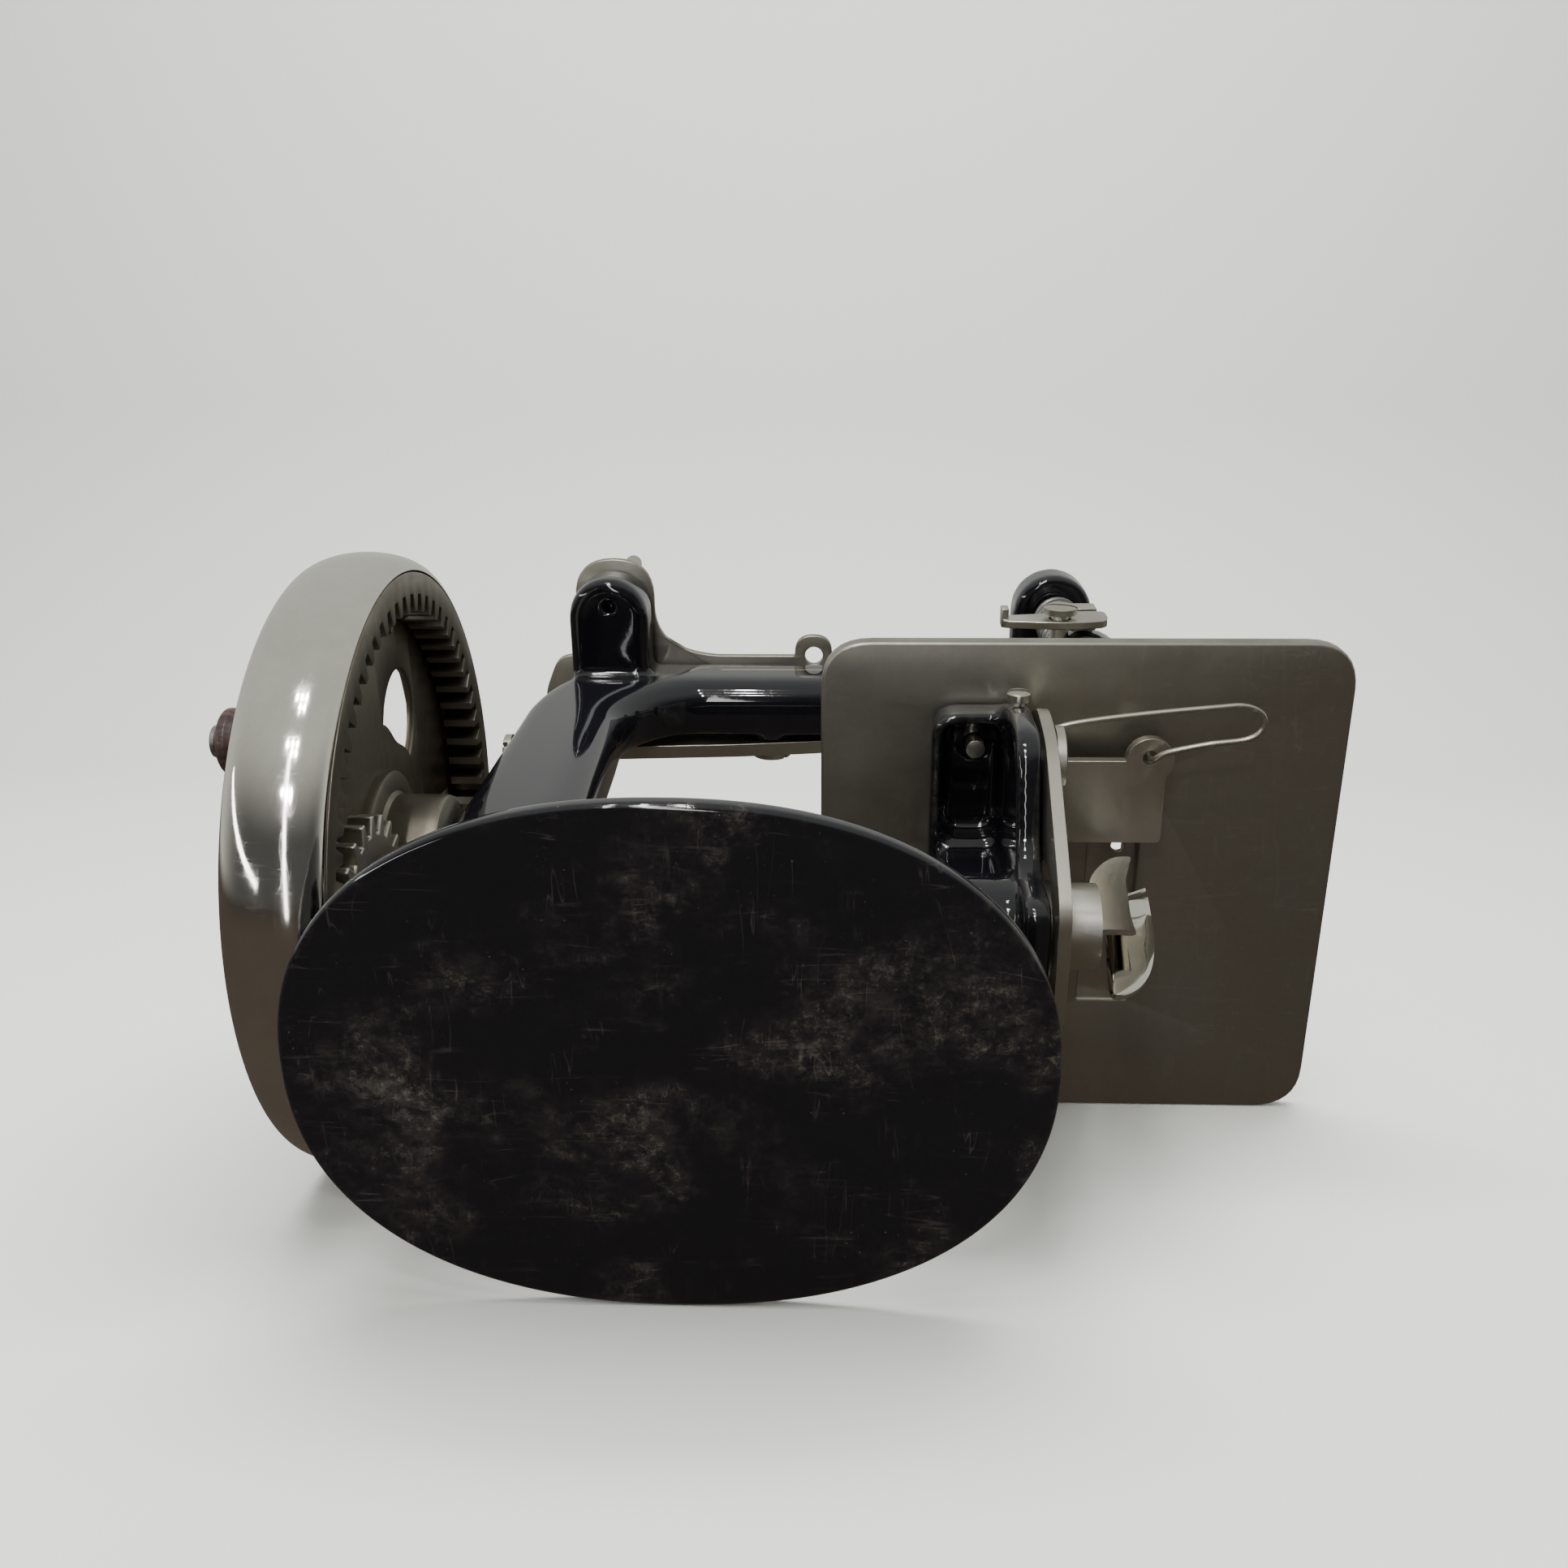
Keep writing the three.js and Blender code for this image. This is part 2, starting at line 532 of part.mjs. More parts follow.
add('main_shaft', onShaft(SHAFT.radius, -60.5, 27.2), steel());
add('shaft_bush_left', cut(onShaft(4.6, -49.9, -33.9), shaftBore(-52, -30)), brass());
add('shaft_bush_right', cut(onShaft(4.6, 35.9, 43), shaftBore(30, 50)), brass());

// The crank joins the two lengths of shaft: a disc with the pin, and a disc that takes it.
const CRANK_Z = SHAFT.z - CRANK.throw;
add('crank_disc', join(
  onShaft(7.4, CRANK.x0, CRANK.x1),
  bar('x', SHAFT.y, CRANK_Z, CRANK.pin, 28, 34.6, 20),
), steel());
add('drive_shaft', cut(
  join(onShaft(SHAFT.radius, 34, 51), onShaft(7.4, 33.2, 35)),
  bar('x', SHAFT.y, CRANK_Z, CRANK.pin + GAP, 30, 36, 20),
), steel());

function pinion() {
  const pitchRadius = (MODULE * PINION.teeth) / 2;
  const outline = gearOutline(PINION.teeth, pitchRadius - 1.25 * MODULE, pitchRadius + 0.92 * MODULE,
    0.33, 0.12, MESH_ANGLE);
  const teeth = push('x', outline, PINION.x0, PINION.x1);
  const centred = teeth.translate([0, SHAFT.y, SHAFT.z]);
  return cut(join(centred, onShaft(6.5, 43.4, PINION.x0 + 0.2)), shaftBore(40, 55));
}

add('pinion', pinion(), nickel());
add('feed_cam', cut(
  join(bar('x', SHAFT.y, SHAFT.z + 1.2, 6.2, -52.2, -50.4, 32), onShaft(5.4, -53.2, -52.1)),
  shaftBore(-60, -40),
), steel());
add('looper_hub', cut(onShaft(6.3, -58, -53.5, 32), shaftBore(-70, -40),
  bar('z', -55.8, SHAFT.y, 1.2 + GAP, SHAFT.z + 1, SHAFT.z + 8)), nickel());

// The looper: a bent blade that curls up to its point beside the needle.
function looper() {
  const collar = onShaft(5.6, -61.5, -58.3);
  const neck = push('x', roundedOutline([
    [SHAFT.y - 4, 34, 2], [SHAFT.y + 4, 34, 2], [SHAFT.y + 5.5, 52, 3], [SHAFT.y + 3, 60.5, 1.2],
    [SHAFT.y, 60.5, 0.8], [SHAFT.y - 3, 50, 3],
  ]), -61.5, -60);
  const hook = push('z', roundedOutline([
    [-60, SHAFT.y + 3.4, 1], [-60, SHAFT.y + 0.4, 0.6], [-64, 1, 1], [-68.4, 1.7, 0.2], [-66, 4, 1.5],
  ]), 58.4, 60.2);
  const blade = push('y', roundedOutline([
    [-59.8, 30, 1], [-59.8, 44, 2], [-68.5, 44, 3], [-69.5, 34, 3], [-66, 28.6, 2.5],
  ]), -4.2, -2.4);
  return cut(join(collar, neck, hook, blade), shaftBore(-60.9, -50));
}

add('looper', looper(), brightNickel());
add('looper_screw', bar('z', -55.8, SHAFT.y, 1.2, SHAFT.z + SHAFT.radius + GAP, SHAFT.z + 6.1), steel());

// ---- feed: rocking plate, its arm and toothed dog, spring and pivot screw

const FEED_FACE = FEED.x + FEED.thick;

function feedLever() {
  const plate = push('x', roundedOutline([
    [-12, 29, 3], [-12, 56, 4], [-6, 65.6, 3], [24, 65.6, 3], [28.4, 57, 3], [27, 46, 4], [16, 30, 3],
    [11, 23.5, 3], [-6, 23.5, 3],
  ]), FEED.x, FEED_FACE);
  const arm = push('z', rectangle(-72.5, 3, FEED.x + 0.5, 17, 0.8), 63.8, 65.6);
  const ear = push('z', disc(-69.8, 17, 3.8), 63.8, 65.6);
  const dogStem = join(...[-69.3, -64.3].map((x) => block(x, x + 0.8, 4.2, 9.4, 65, 72.4)));
  return cut(join(plate, arm, ear, dogStem),
    bar('x', FEED.pivotY, FEED.pivotZ, 1.9 + GAP, -60, -45),
    push('x', disc(SHAFT.y, SHAFT.z + 0.5, 9.4), -60, -45),
    bar('z', -69.8, 17.6, 1.2, 60, 70, 16));
}

add('feed_lever', feedLever(), nickel());
add('feed_pivot_screw', join(
  screw('x', FEED.pivotY, FEED.pivotZ, 4.9, 1.9, -54.4, -52.7, -50.4),
  bar('x', FEED.pivotY, FEED.pivotZ, 1.5, -50.6, -46.6, 16),
), nickel());
add('feed_spring', wire([
  [-52.9, 23.6, 59.4], [-57, 24.8, 59.6], [-66, 26, 60], [-78, 27.2, 60.2], [-83.5, 27.4, 60.4],
  [-85.6, 25.6, 60.6], [-84.6, 23.8, 60.8], [-78, 21.6, 61], [-72, 19.4, 61.6], [-69.9, 17.8, 62.6],
], 0.42, 30), steel());
add('feed_stop_screw', screw('y', -48.2, 60, 1.9, 1, 30, 28.4, 20), nickel());

// ---- hand wheel, stud and crank knob

const onWheel = (radius, x0, x1, sides = 32) => bar('x', WHEEL.y, WHEEL.z, radius, x0, x1, sides);

// Polar outline between two radius functions over a span of angles, in degrees.
function polarWindow(from, to, innerRadius, outerRadius, steps = 8) {
  const at = (t, radius) => {
    const angle = THREE.MathUtils.degToRad(from + (to - from) * t);
    return point(radius(t) * Math.cos(angle), radius(t) * Math.sin(angle));
  };
  const marks = Array.from({ length: steps + 1 }, (_, i) => i / steps);
  return new THREE.Shape([
    ...marks.map((t) => at(t, outerRadius)),
    ...marks.reverse().map((t) => at(t, innerRadius)),
  ]);
}

function webWindows() {
  const windows = [];
  for (let i = 0; i < 3; i += 1) {
    const turn = 120 * i;
    windows.push(
      polarWindow(turn + 18, turn + 60, (t) => 20.6 + 0.8 * Math.cos(2 * Math.PI * t),
        (t) => 21.6 + 8.6 * Math.sin(Math.PI * t) ** 0.6),
      polarWindow(turn - 22, turn + 26, (t) => 31.5 + 6.4 * t, () => 38.4),
    );
  }
  return windows.map((outline) => push('x', outline, 50, 60).translate([0, WHEEL.y, WHEEL.z]));
}

function handWheel() {
  const rim = turned('x', WHEEL.y, WHEEL.z, [
    [43.2, 47.1], [48.1, 47.1], [48.9, 50.5], [49.2, 56], [48.8, 60.4], [47.2, 61.6], [45, 60.8],
    [44, 56], [43.2, 52], [43.2, 47.1],
  ], RING.teeth);
  const pitchRadius = (MODULE * RING.teeth) / 2;
  // The hollow of the ring gear, in mesh with the pinion along the line of centres.
  const hollow = push('x', gearOutline(RING.teeth, pitchRadius - 0.95 * MODULE,
    pitchRadius + 1.2 * MODULE, 0.32, 0.19, MESH_ANGLE), 47, 53).translate([0, WHEEL.y, WHEEL.z]);
  const toothed = cut(onWheel(43.6, RING.x0, RING.x1, RING.teeth), hollow);
  const web = cut(onWheel(44.1, 52.8, 55, RING.teeth), ...webWindows());
  return cut(join(rim, toothed, web, onWheel(WHEEL.hub, 42.3, 56.4), onWheel(14, 51.6, 55.4)),
    onWheel(WHEEL.stud + GAP, 40, 60, 24),
    bar('x', KNOB.y, KNOB.z, 1.5 + GAP, 50, 60, 16));
}

add('hand_wheel', handWheel(), brightNickel());
add('wheel_stud', onWheel(WHEEL.stud, 33, 56.7, 24), steel());
add('wheel_washer', turned('x', WHEEL.y, WHEEL.z,
  [[2, 57], [7, 57], [7, 58], [2, 58], [2, 57]], 20), nickel());
add('wheel_screw', screw('x', WHEEL.y, WHEEL.z, 5, 1.6, 60.4, 58.3, 57), nickel());
add('crank_pin', join(
  bar('x', KNOB.y, KNOB.z, 1.5, 52.2, 69.2, 16),
  bar('x', KNOB.y, KNOB.z, 2.4, 69, 69.9, 20),
), steel());
add('crank_knob', turned('x', KNOB.y, KNOB.z, [
  [1.8, 56], [3.4, 56], [3.9, 56.8], [3.2, 58.4], [3, 60], [3.6, 62.6], [4.6, 65], [4.9, 66.8],
  [4.4, 68.2], [3.2, 68.7], [1.8, 68.7], [1.8, 56],
], 24), wood());
add('column_screw', screw('x', 1, 110, 3, 1.5, 43.8, 42, 35), nickel());

export default group;
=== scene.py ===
import json
from functools import cached_property
from math import cos, pi, radians, sin

import bmesh
import bpy
import numpy as np
from mathutils import Euler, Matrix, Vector


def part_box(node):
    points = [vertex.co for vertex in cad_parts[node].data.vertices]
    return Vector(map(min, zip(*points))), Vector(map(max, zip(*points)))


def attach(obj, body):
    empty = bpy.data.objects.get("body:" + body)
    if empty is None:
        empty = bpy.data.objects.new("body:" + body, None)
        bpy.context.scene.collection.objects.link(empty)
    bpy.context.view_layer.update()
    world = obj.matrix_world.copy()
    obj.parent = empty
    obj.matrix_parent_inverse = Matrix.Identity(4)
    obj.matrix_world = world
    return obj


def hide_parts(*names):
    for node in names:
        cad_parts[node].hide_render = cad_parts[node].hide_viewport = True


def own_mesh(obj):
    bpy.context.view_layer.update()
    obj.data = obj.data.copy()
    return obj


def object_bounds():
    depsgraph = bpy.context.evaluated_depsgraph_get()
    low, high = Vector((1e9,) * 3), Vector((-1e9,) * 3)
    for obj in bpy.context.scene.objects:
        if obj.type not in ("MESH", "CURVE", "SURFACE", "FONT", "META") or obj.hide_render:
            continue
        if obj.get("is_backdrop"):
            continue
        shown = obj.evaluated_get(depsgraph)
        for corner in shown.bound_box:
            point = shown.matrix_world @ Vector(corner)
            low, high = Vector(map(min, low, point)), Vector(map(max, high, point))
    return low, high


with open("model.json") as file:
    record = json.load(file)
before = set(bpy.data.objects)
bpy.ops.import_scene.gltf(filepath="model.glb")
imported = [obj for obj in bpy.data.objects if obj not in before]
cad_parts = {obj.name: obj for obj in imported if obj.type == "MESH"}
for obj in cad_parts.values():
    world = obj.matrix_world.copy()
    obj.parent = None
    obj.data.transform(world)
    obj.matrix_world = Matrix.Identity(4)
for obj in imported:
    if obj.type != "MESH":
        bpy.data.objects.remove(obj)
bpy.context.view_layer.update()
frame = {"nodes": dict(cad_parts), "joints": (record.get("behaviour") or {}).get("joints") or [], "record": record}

bl_info = {
    "name": "Toy Sewing Machine",
    "version": (1, 0, 0),
    "blender": (4, 5, 0),
    "location": "View3D > Sidebar > Sewing Machine",
    "description": "Makes the fine surfaces and finishes of a small hand-crank chain-stitch sewing machine",
    "category": "Object",
}

MM = 0.001  # shapes are worked out in millimetres and put into meshes in metres
WHEEL_AXIS = (0.0, 63.5)  # Y and Z of the hand wheel's axis
SHAFT_AXIS = (1.8, 36.911)  # Y and Z of the main shaft's axis
STRIP_DISTANCE = 0.9  # from the hand wheel to each strip lamp, in metres


# ------------------------------------------------------------------ sizes and colours


def length(name, default, description):
    """A length property in metres."""
    return bpy.props.FloatProperty(
        name=name, description=description, default=default, unit="LENGTH", precision=5)


def share(name, default, description):
    """A property from 0 to 1."""
    return bpy.props.FloatProperty(
        name=name, description=description, default=default, min=0, max=1, subtype="FACTOR")


def colour(name, default, description):
    """A linear colour property."""
    return bpy.props.FloatVectorProperty(
        name=name, description=description, default=default, size=3, min=0, max=1, subtype="COLOR")


class CastingSettings(bpy.types.PropertyGroup):
    """The black cast frame."""
    voxel: length("Casting grain", 0.00062, "Voxel size that blends the casting's forms")
    rim: length("Base edge", 0.0009, "Radius of the oval base's worn lower edge")
    enamel: colour("Enamel", (0.0035, 0.0035, 0.0048), "Colour of the baked enamel")
    dust: colour("Dust", (0.19, 0.165, 0.14), "Colour of the dust and scuffs on the enamel")
    scuffs: share("Scuffs", 0.8, "How scuffed the base's underside is")


class MetalSettings(bpy.types.PropertyGroup):
    """The plated and bare metal pieces."""
    edge: length("Edge", 0.0003, "Radius of the plates' edges")
    nickel: colour("Nickel", (0.44, 0.42, 0.36), "Colour of the dulled nickel plate")
    bright: colour("Bright nickel", (0.76, 0.73, 0.66), "Colour of the polished nickel plate")
    steel: colour("Steel", (0.34, 0.33, 0.31), "Colour of the bare steel")
    brass: colour("Brass", (0.56, 0.42, 0.16), "Colour of the bushes")
    gilt: colour("Gilt", (0.55, 0.38, 0.12), "Colour of the painted lines")


class KnobSettings(bpy.types.PropertyGroup):
    """The crank's wooden knob."""
    stain: colour("Stain", (0.046, 0.020, 0.016), "Colour of the stained wood")
    grain: colour("Grain", (0.013, 0.006, 0.005), "Colour of the dark grain")


class StageSettings(bpy.types.PropertyGroup):
    """Floor, backdrop, lights and camera. The machine lies tipped on its side of the floor."""
    tilt: bpy.props.FloatProperty(
        name="Tilt", description="How far the floor leans from the machine's own upright",
        default=radians(11.8), subtype="ANGLE")
    drop: length("Drop", 0.036, "How far the floor is from the origin, along -Y")
    floor: colour("Floor", (0.66, 0.66, 0.625), "Colour of the floor and backdrop")
    lamp: bpy.props.FloatProperty(
        name="Lamp", description="Power of the large soft lamp", default=5.5, unit="POWER")
    camera_place: bpy.props.FloatVectorProperty(
        name="Camera", description="Where the camera stands", size=3,
        default=(-0.02114, 0.10062, -0.15353), subtype="TRANSLATION", unit="LENGTH", precision=5)
    camera_turn: bpy.props.FloatVectorProperty(
        name="Camera turn", description="How the camera is turned", size=3,
        default=(radians(158.001), radians(-2.1644), radians(-179.5031)), subtype="EULER")
    focal: bpy.props.FloatProperty(
        name="Focal length", description="The camera's focal length on a 36 mm sensor",
        default=33.73, unit="CAMERA")


# ------------------------------------------------------------------ shapes as arrays


def corners(node):
    """Lowest and highest corner of a CAD node, in millimetres."""
    low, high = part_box(node)
    return np.array(low) / MM, np.array(high) / MM


def unit(vectors):
    """Each vector divided by its length."""
    return vectors / np.maximum(np.linalg.norm(vectors, axis=-1, keepdims=True), 1e-12)


def place(axis, u, v, w):
    """Points from two coordinates across an axis and one along it."""
    u, v, w = np.broadcast_arrays(u, v, w)
    return np.stack({"x": (w, u, v), "y": (u, w, v), "z": (u, v, w)}[axis], -1)


def without_repeats(points):
    """Closed outline without points that repeat the one before."""
    step = np.linalg.norm(points - np.roll(points, 1, 0), axis=1)
    return points[step > 1e-6]


def rounded(outline, steps=8):
    """Closed outline whose corner p of size r is the parabola a(1-t)^2 + 2pt(1-t) + bt^2, where
    a and b lie r before and after p."""
    p = np.array([corner[:2] for corner in outline], float)
    r = np.array([corner[2] if len(corner) > 2 else 0.0 for corner in outline])[:, None]
    a = (p + unit(np.roll(p, 1, 0) - p) * r)[:, None]
    b = (p + unit(np.roll(p, -1, 0) - p) * r)[:, None]
    t = np.linspace(0, 1, steps + 1)[None, :, None]
    return without_repeats((a * (1 - t) ** 2 + 2 * p[:, None] * t * (1 - t) + b * t ** 2).reshape(-1, 2))


def rectangle(x0, y0, x1, y1, r=0.0):
    """Rectangle outline with rounded corners."""
    return rounded([(x0, y0, r), (x1, y0, r), (x1, y1, r), (x0, y1, r)])


def arc(x, y, radius, start, end, steps=24):
    """Points (x + r cos a, y + r sin a) for a from start to end, in degrees."""
    a = np.radians(np.linspace(start, end, steps + 1))
    return np.column_stack([x + radius * np.cos(a), y + radius * np.sin(a)])


def circle(x, y, radius, steps=48):
    """A full round outline."""
    return arc(x, y, radius, 0, 360, steps)[:-1]


def tongue(x, half, y0, y1):
    """A strip from y0 that ends in a half circle whose crest is at y1."""
    return np.vstack([[(x - half, y0), (x + half, y0)], arc(x, y1 - half, half, 0, 180)])


def sheet(points, wrap_u=False, wrap_v=False):
    """Vertices and four-sided faces of a grid points[u, v]. A wrapped direction closes on itself."""
    index = np.arange(points.shape[0] * points.shape[1]).reshape(points.shape[:2])
    index = np.vstack([index, index[:1]]) if wrap_u else index
    index = np.hstack([index, index[:, :1]]) if wrap_v else index
    faces = np.stack([index[:-1, :-1], index[1:, :-1], index[1:, 1:], index[:-1, 1:]], -1)
    return points.reshape(-1, 3), faces.reshape(-1, 4).tolist()


def turned(axis, centre, profile, sides=96):
    """Turned surface: a profile point (r, d) goes round as (r cos a, r sin a) across the axis, at
    distance d along it. The profile starts and ends on the axis, or closes on itself."""
    a = np.linspace(0, 2 * pi, sides, endpoint=False)[:, None]
    r, d = np.array(profile, float).T
    return sheet(place(axis, centre[0] + r * np.cos(a), centre[1] + r * np.sin(a), d), wrap_u=True)


def round_bar(axis, centre, radius, low, high, edge=0.25):
    """A bar with rounded ends, turned."""
    profile = [(0, low), (radius - edge, low), (radius - 0.3 * edge, low + 0.3 * edge),
               (radius, low + edge), (radius, high - edge), (radius - 0.3 * edge, high - 0.3 * edge),
               (radius - edge, high), (0, high)]
    return turned(axis, centre, profile, 64)


def path_through(points, count):
    """Smooth path through the points: on each span p1 to p2 with neighbours p0 and p3 it is the
    cubic (2p1 + (p2-p0)t + (2p0-5p1+4p2-p3)t^2 + (3p1-p0-3p2+p3)t^3) / 2."""
    p = np.array(points, float)
    p = np.vstack([2 * p[0] - p[1], p, 2 * p[-1] - p[-2]])
    s = np.linspace(0, len(points) - 1, count)
    i = np.minimum(s.astype(int), len(points) - 2)
    t = (s - i)[:, None]
    p0, p1, p2, p3 = p[i], p[i + 1], p[i + 2], p[i + 3]
    return (2 * p1 + (p2 - p0) * t + (2 * p0 - 5 * p1 + 4 * p2 - p3) * t ** 2
            + (3 * p1 - p0 - 3 * p2 + p3) * t ** 3) / 2


def tube(path, radius, sides=14, across=(0.0, 0.0, 1.0)):
    """A round wire along a path: path + r (n cos a + b sin a), where n is square to the path and
    to the vector across, and b to both. Its ends close to a point."""
    ahead = unit(np.gradient(path, axis=0))
    n = unit(np.cross(ahead, across))
    b = np.cross(ahead, n)
    a = np.linspace(0, 2 * pi, sides, endpoint=False)[None, :, None]
    ring = path[:, None] + radius * (n[:, None] * np.cos(a) + b[:, None] * np.sin(a))
    ends = [np.repeat(path[i][None, None], sides, 1) for i in (0, -1)]
    return sheet(np.concatenate([ends[0], ring, ends[1]]), wrap_v=True)


def coil(x, y, radius, z0, z1, turns):
    """Points of a helix (x + R cos a, y + R sin a, z), flat at its first and last turn."""
    t = np.linspace(0, 1, int(turns * 24) + 1)
    rise = np.clip((t * turns - 0.6) / (turns - 1.2), 0, 1)
    a = 2 * pi * turns * t
    return np.column_stack([x + radius * np.cos(a), y + radius * np.sin(a), z0 + (z1 - z0) * rise])


def slab(axis, outline, low, high, edge=0.3, holes=()):
    """A plate: an outline with holes, pushed from low to high along an axis, its edges rounded."""
    flat = bpy.data.curves.new("outline", "CURVE")
    flat.dimensions, flat.fill_mode = "2D", "BOTH"
    flat.extrude, flat.bevel_depth = (high - low) / 2 - edge, edge
    flat.offset, flat.bevel_resolution = -edge, 2
    for line, wanted in [(outline, 1.0), *((hole, -1.0) for hole in holes)]:
        line = np.asarray(line, float)
        ahead = np.roll(line, -1, 0)
        area = np.sum(line[:, 0] * ahead[:, 1] - ahead[:, 0] * line[:, 1])
        line = line if area * wanted > 0 else line[::-1]
        spline = flat.splines.new("POLY")
        spline.points.add(len(line) - 1)
        spline.points.foreach_set("co", np.column_stack([line, 0 * line[:, 0], 0 * line[:, 0] + 1]).ravel())
        spline.use_cyclic_u = True
    holder = bpy.data.objects.new("outline", flat)
    bpy.context.scene.collection.objects.link(holder)
    graph = bpy.context.evaluated_depsgraph_get()
    mesh = bpy.data.meshes.new_from_object(holder.evaluated_get(graph), depsgraph=graph)
    u, v, w = np.array([vertex.co for vertex in mesh.vertices]).T
    faces = [list(face.vertices) for face in mesh.polygons]
    bpy.data.objects.remove(holder)
    bpy.data.curves.remove(flat)
    bpy.data.meshes.remove(mesh)
    return place(axis, u, v, w + (low + high) / 2), faces


def block(x0, x1, y0, y1, z0, z1, edge=0.05):
    """A block with barely rounded edges."""
    return slab("z", rectangle(x0, y0, x1, y1), z0, z1, edge)


def slotted_head(axis, centre, radius, base, top, turn=35, slot=0.45):
    """A screw head. Across it, the point (u, v) of a square goes to (u sqrt(1 - v^2), v) times the
    radius. Its height falls from the middle by a quarter of the fourth power of the distance, and
    the slot is the band where |v| is small. A side wall and a flat back close it."""
    half = slot / radius
    v = np.sort(np.concatenate([np.cos(np.linspace(0, pi, 41)), [half, half + 0.02, -half, -half - 0.02]]))
    u = np.sin(np.linspace(-pi / 2, pi / 2, 41))
    u, v = np.meshgrid(u, v, indexing="ij")
    x, y = u * np.sqrt(1 - np.clip(v, -1, 1) ** 2), v
    dome = 1 - 0.28 * (x ** 2 + y ** 2) ** 2 - 0.45 * (np.abs(v) <= half + 0.001)
    c, s = cos(radians(turn)), sin(radians(turn))
    across, along = radius * (c * x - s * y), radius * (s * x + c * y)
    front = place(axis, centre[0] + across, centre[1] + along, base + (top - base) * dome)
    back = place(axis, centre[0] + across, centre[1] + along, base)
    walls = [sheet(np.stack([front[i], back[i]])) for i in (0, -1)]
    return [sheet(front), sheet(back), *walls]


# ------------------------------------------------------------------ meshes and pieces


def joined(shapes):
    """One mesh of several shapes, in metres, its seams merged and its faces turned outwards."""
    points = np.concatenate([shape[0] for shape in shapes]) * MM
    starts = np.cumsum([0] + [len(shape[0]) for shape in shapes[:-1]])
    faces = [[i + int(start) for i in face] for shape, start in zip(shapes, starts) for face in shape[1]]
    mesh = bpy.data.meshes.new("shape")
    mesh.from_pydata(points.tolist(), [], faces)
    work = bmesh.new()
    work.from_mesh(mesh)
    bmesh.ops.remove_doubles(work, verts=work.verts, dist=2e-6)
    bmesh.ops.dissolve_degenerate(work, edges=work.edges, dist=1e-7)
    bmesh.ops.recalc_face_normals(work, faces=work.faces)
    work.to_mesh(mesh)
    work.free()
    return mesh


def new_piece(name, mesh, material, body, nodes, sharp=35):
    """A finished piece that rides on a CAD body and stands for CAD nodes."""
    mesh.name = name
    mesh.shade_smooth()
    mesh.set_sharp_from_angle(angle=radians(sharp))
    mesh.materials.clear()
    mesh.materials.append(material)
    piece = bpy.data.objects.new(name, mesh)
    bpy.context.scene.collection.objects.link(piece)
    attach(piece, body)
    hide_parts(*nodes)
    return piece


def applied(mesh, modifiers):
    """The mesh after a list of (type, settings) modifiers."""
    holder = bpy.data.objects.new("work", mesh)
    bpy.context.scene.collection.objects.link(holder)
    for kind, settings in modifiers:
        modifier = holder.modifiers.new(kind, kind)
        for key, value in settings.items():
            setattr(modifier, key, value)
    graph = bpy.context.evaluated_depsgraph_get()
    result = bpy.data.meshes.new_from_object(holder.evaluated_get(graph), depsgraph=graph)
    bpy.data.objects.remove(holder)
    return result


def finished_copy(node, material, body, bevel=0.22):
    """A CAD node's own solid, its facets joined and its edges rounded."""
    mesh = frame["nodes"][node].data.copy()
    work = bmesh.new()
    work.from_mesh(mesh)
    bmesh.ops.remove_doubles(work, verts=work.verts, dist=2e-6)
    bmesh.ops.dissolve_limit(work, angle_limit=radians(1.5), verts=work.verts, edges=work.edges)
    work.to_mesh(mesh)
    work.free()
    piece = new_piece(f"{node}_piece", mesh, material, body, [node], 32)
    rounding = piece.modifiers.new("Rounded edges", "BEVEL")
    rounding.width, rounding.segments, rounding.limit_method = bevel * MM, 2, "ANGLE"
    rounding.angle_limit = radians(40)
    return piece


# ------------------------------------------------------------------ finishes


class Number:
    """A shader value. Arithmetic on it adds Math nodes to its finish."""

    def __init__(self, finish, socket):
        self.finish, self.socket = finish, socket

    def _math(self, operation, *values):
        return self.finish.node("ShaderNodeMath", {"operation": operation}, dict(enumerate(values)))

    def __add__(self, other): return self._math("ADD", self, other)
    def __radd__(self, other): return self._math("ADD", other, self)
    def __sub__(self, other): return self._math("SUBTRACT", self, other)
    def __rsub__(self, other): return self._math("SUBTRACT", other, self)
    def __mul__(self, other): return self._math("MULTIPLY", self, other)
    def __rmul__(self, other): return self._math("MULTIPLY", other, self)
    def __abs__(self): return self._math("ABSOLUTE", self)

    def between(self, low, high):
        """0 below low, 1 above high and smooth between."""
        return self.finish.node(
            "ShaderNodeMapRange", {"interpolation_type": "SMOOTHSTEP"}, {0: self, 1: low, 2: high})


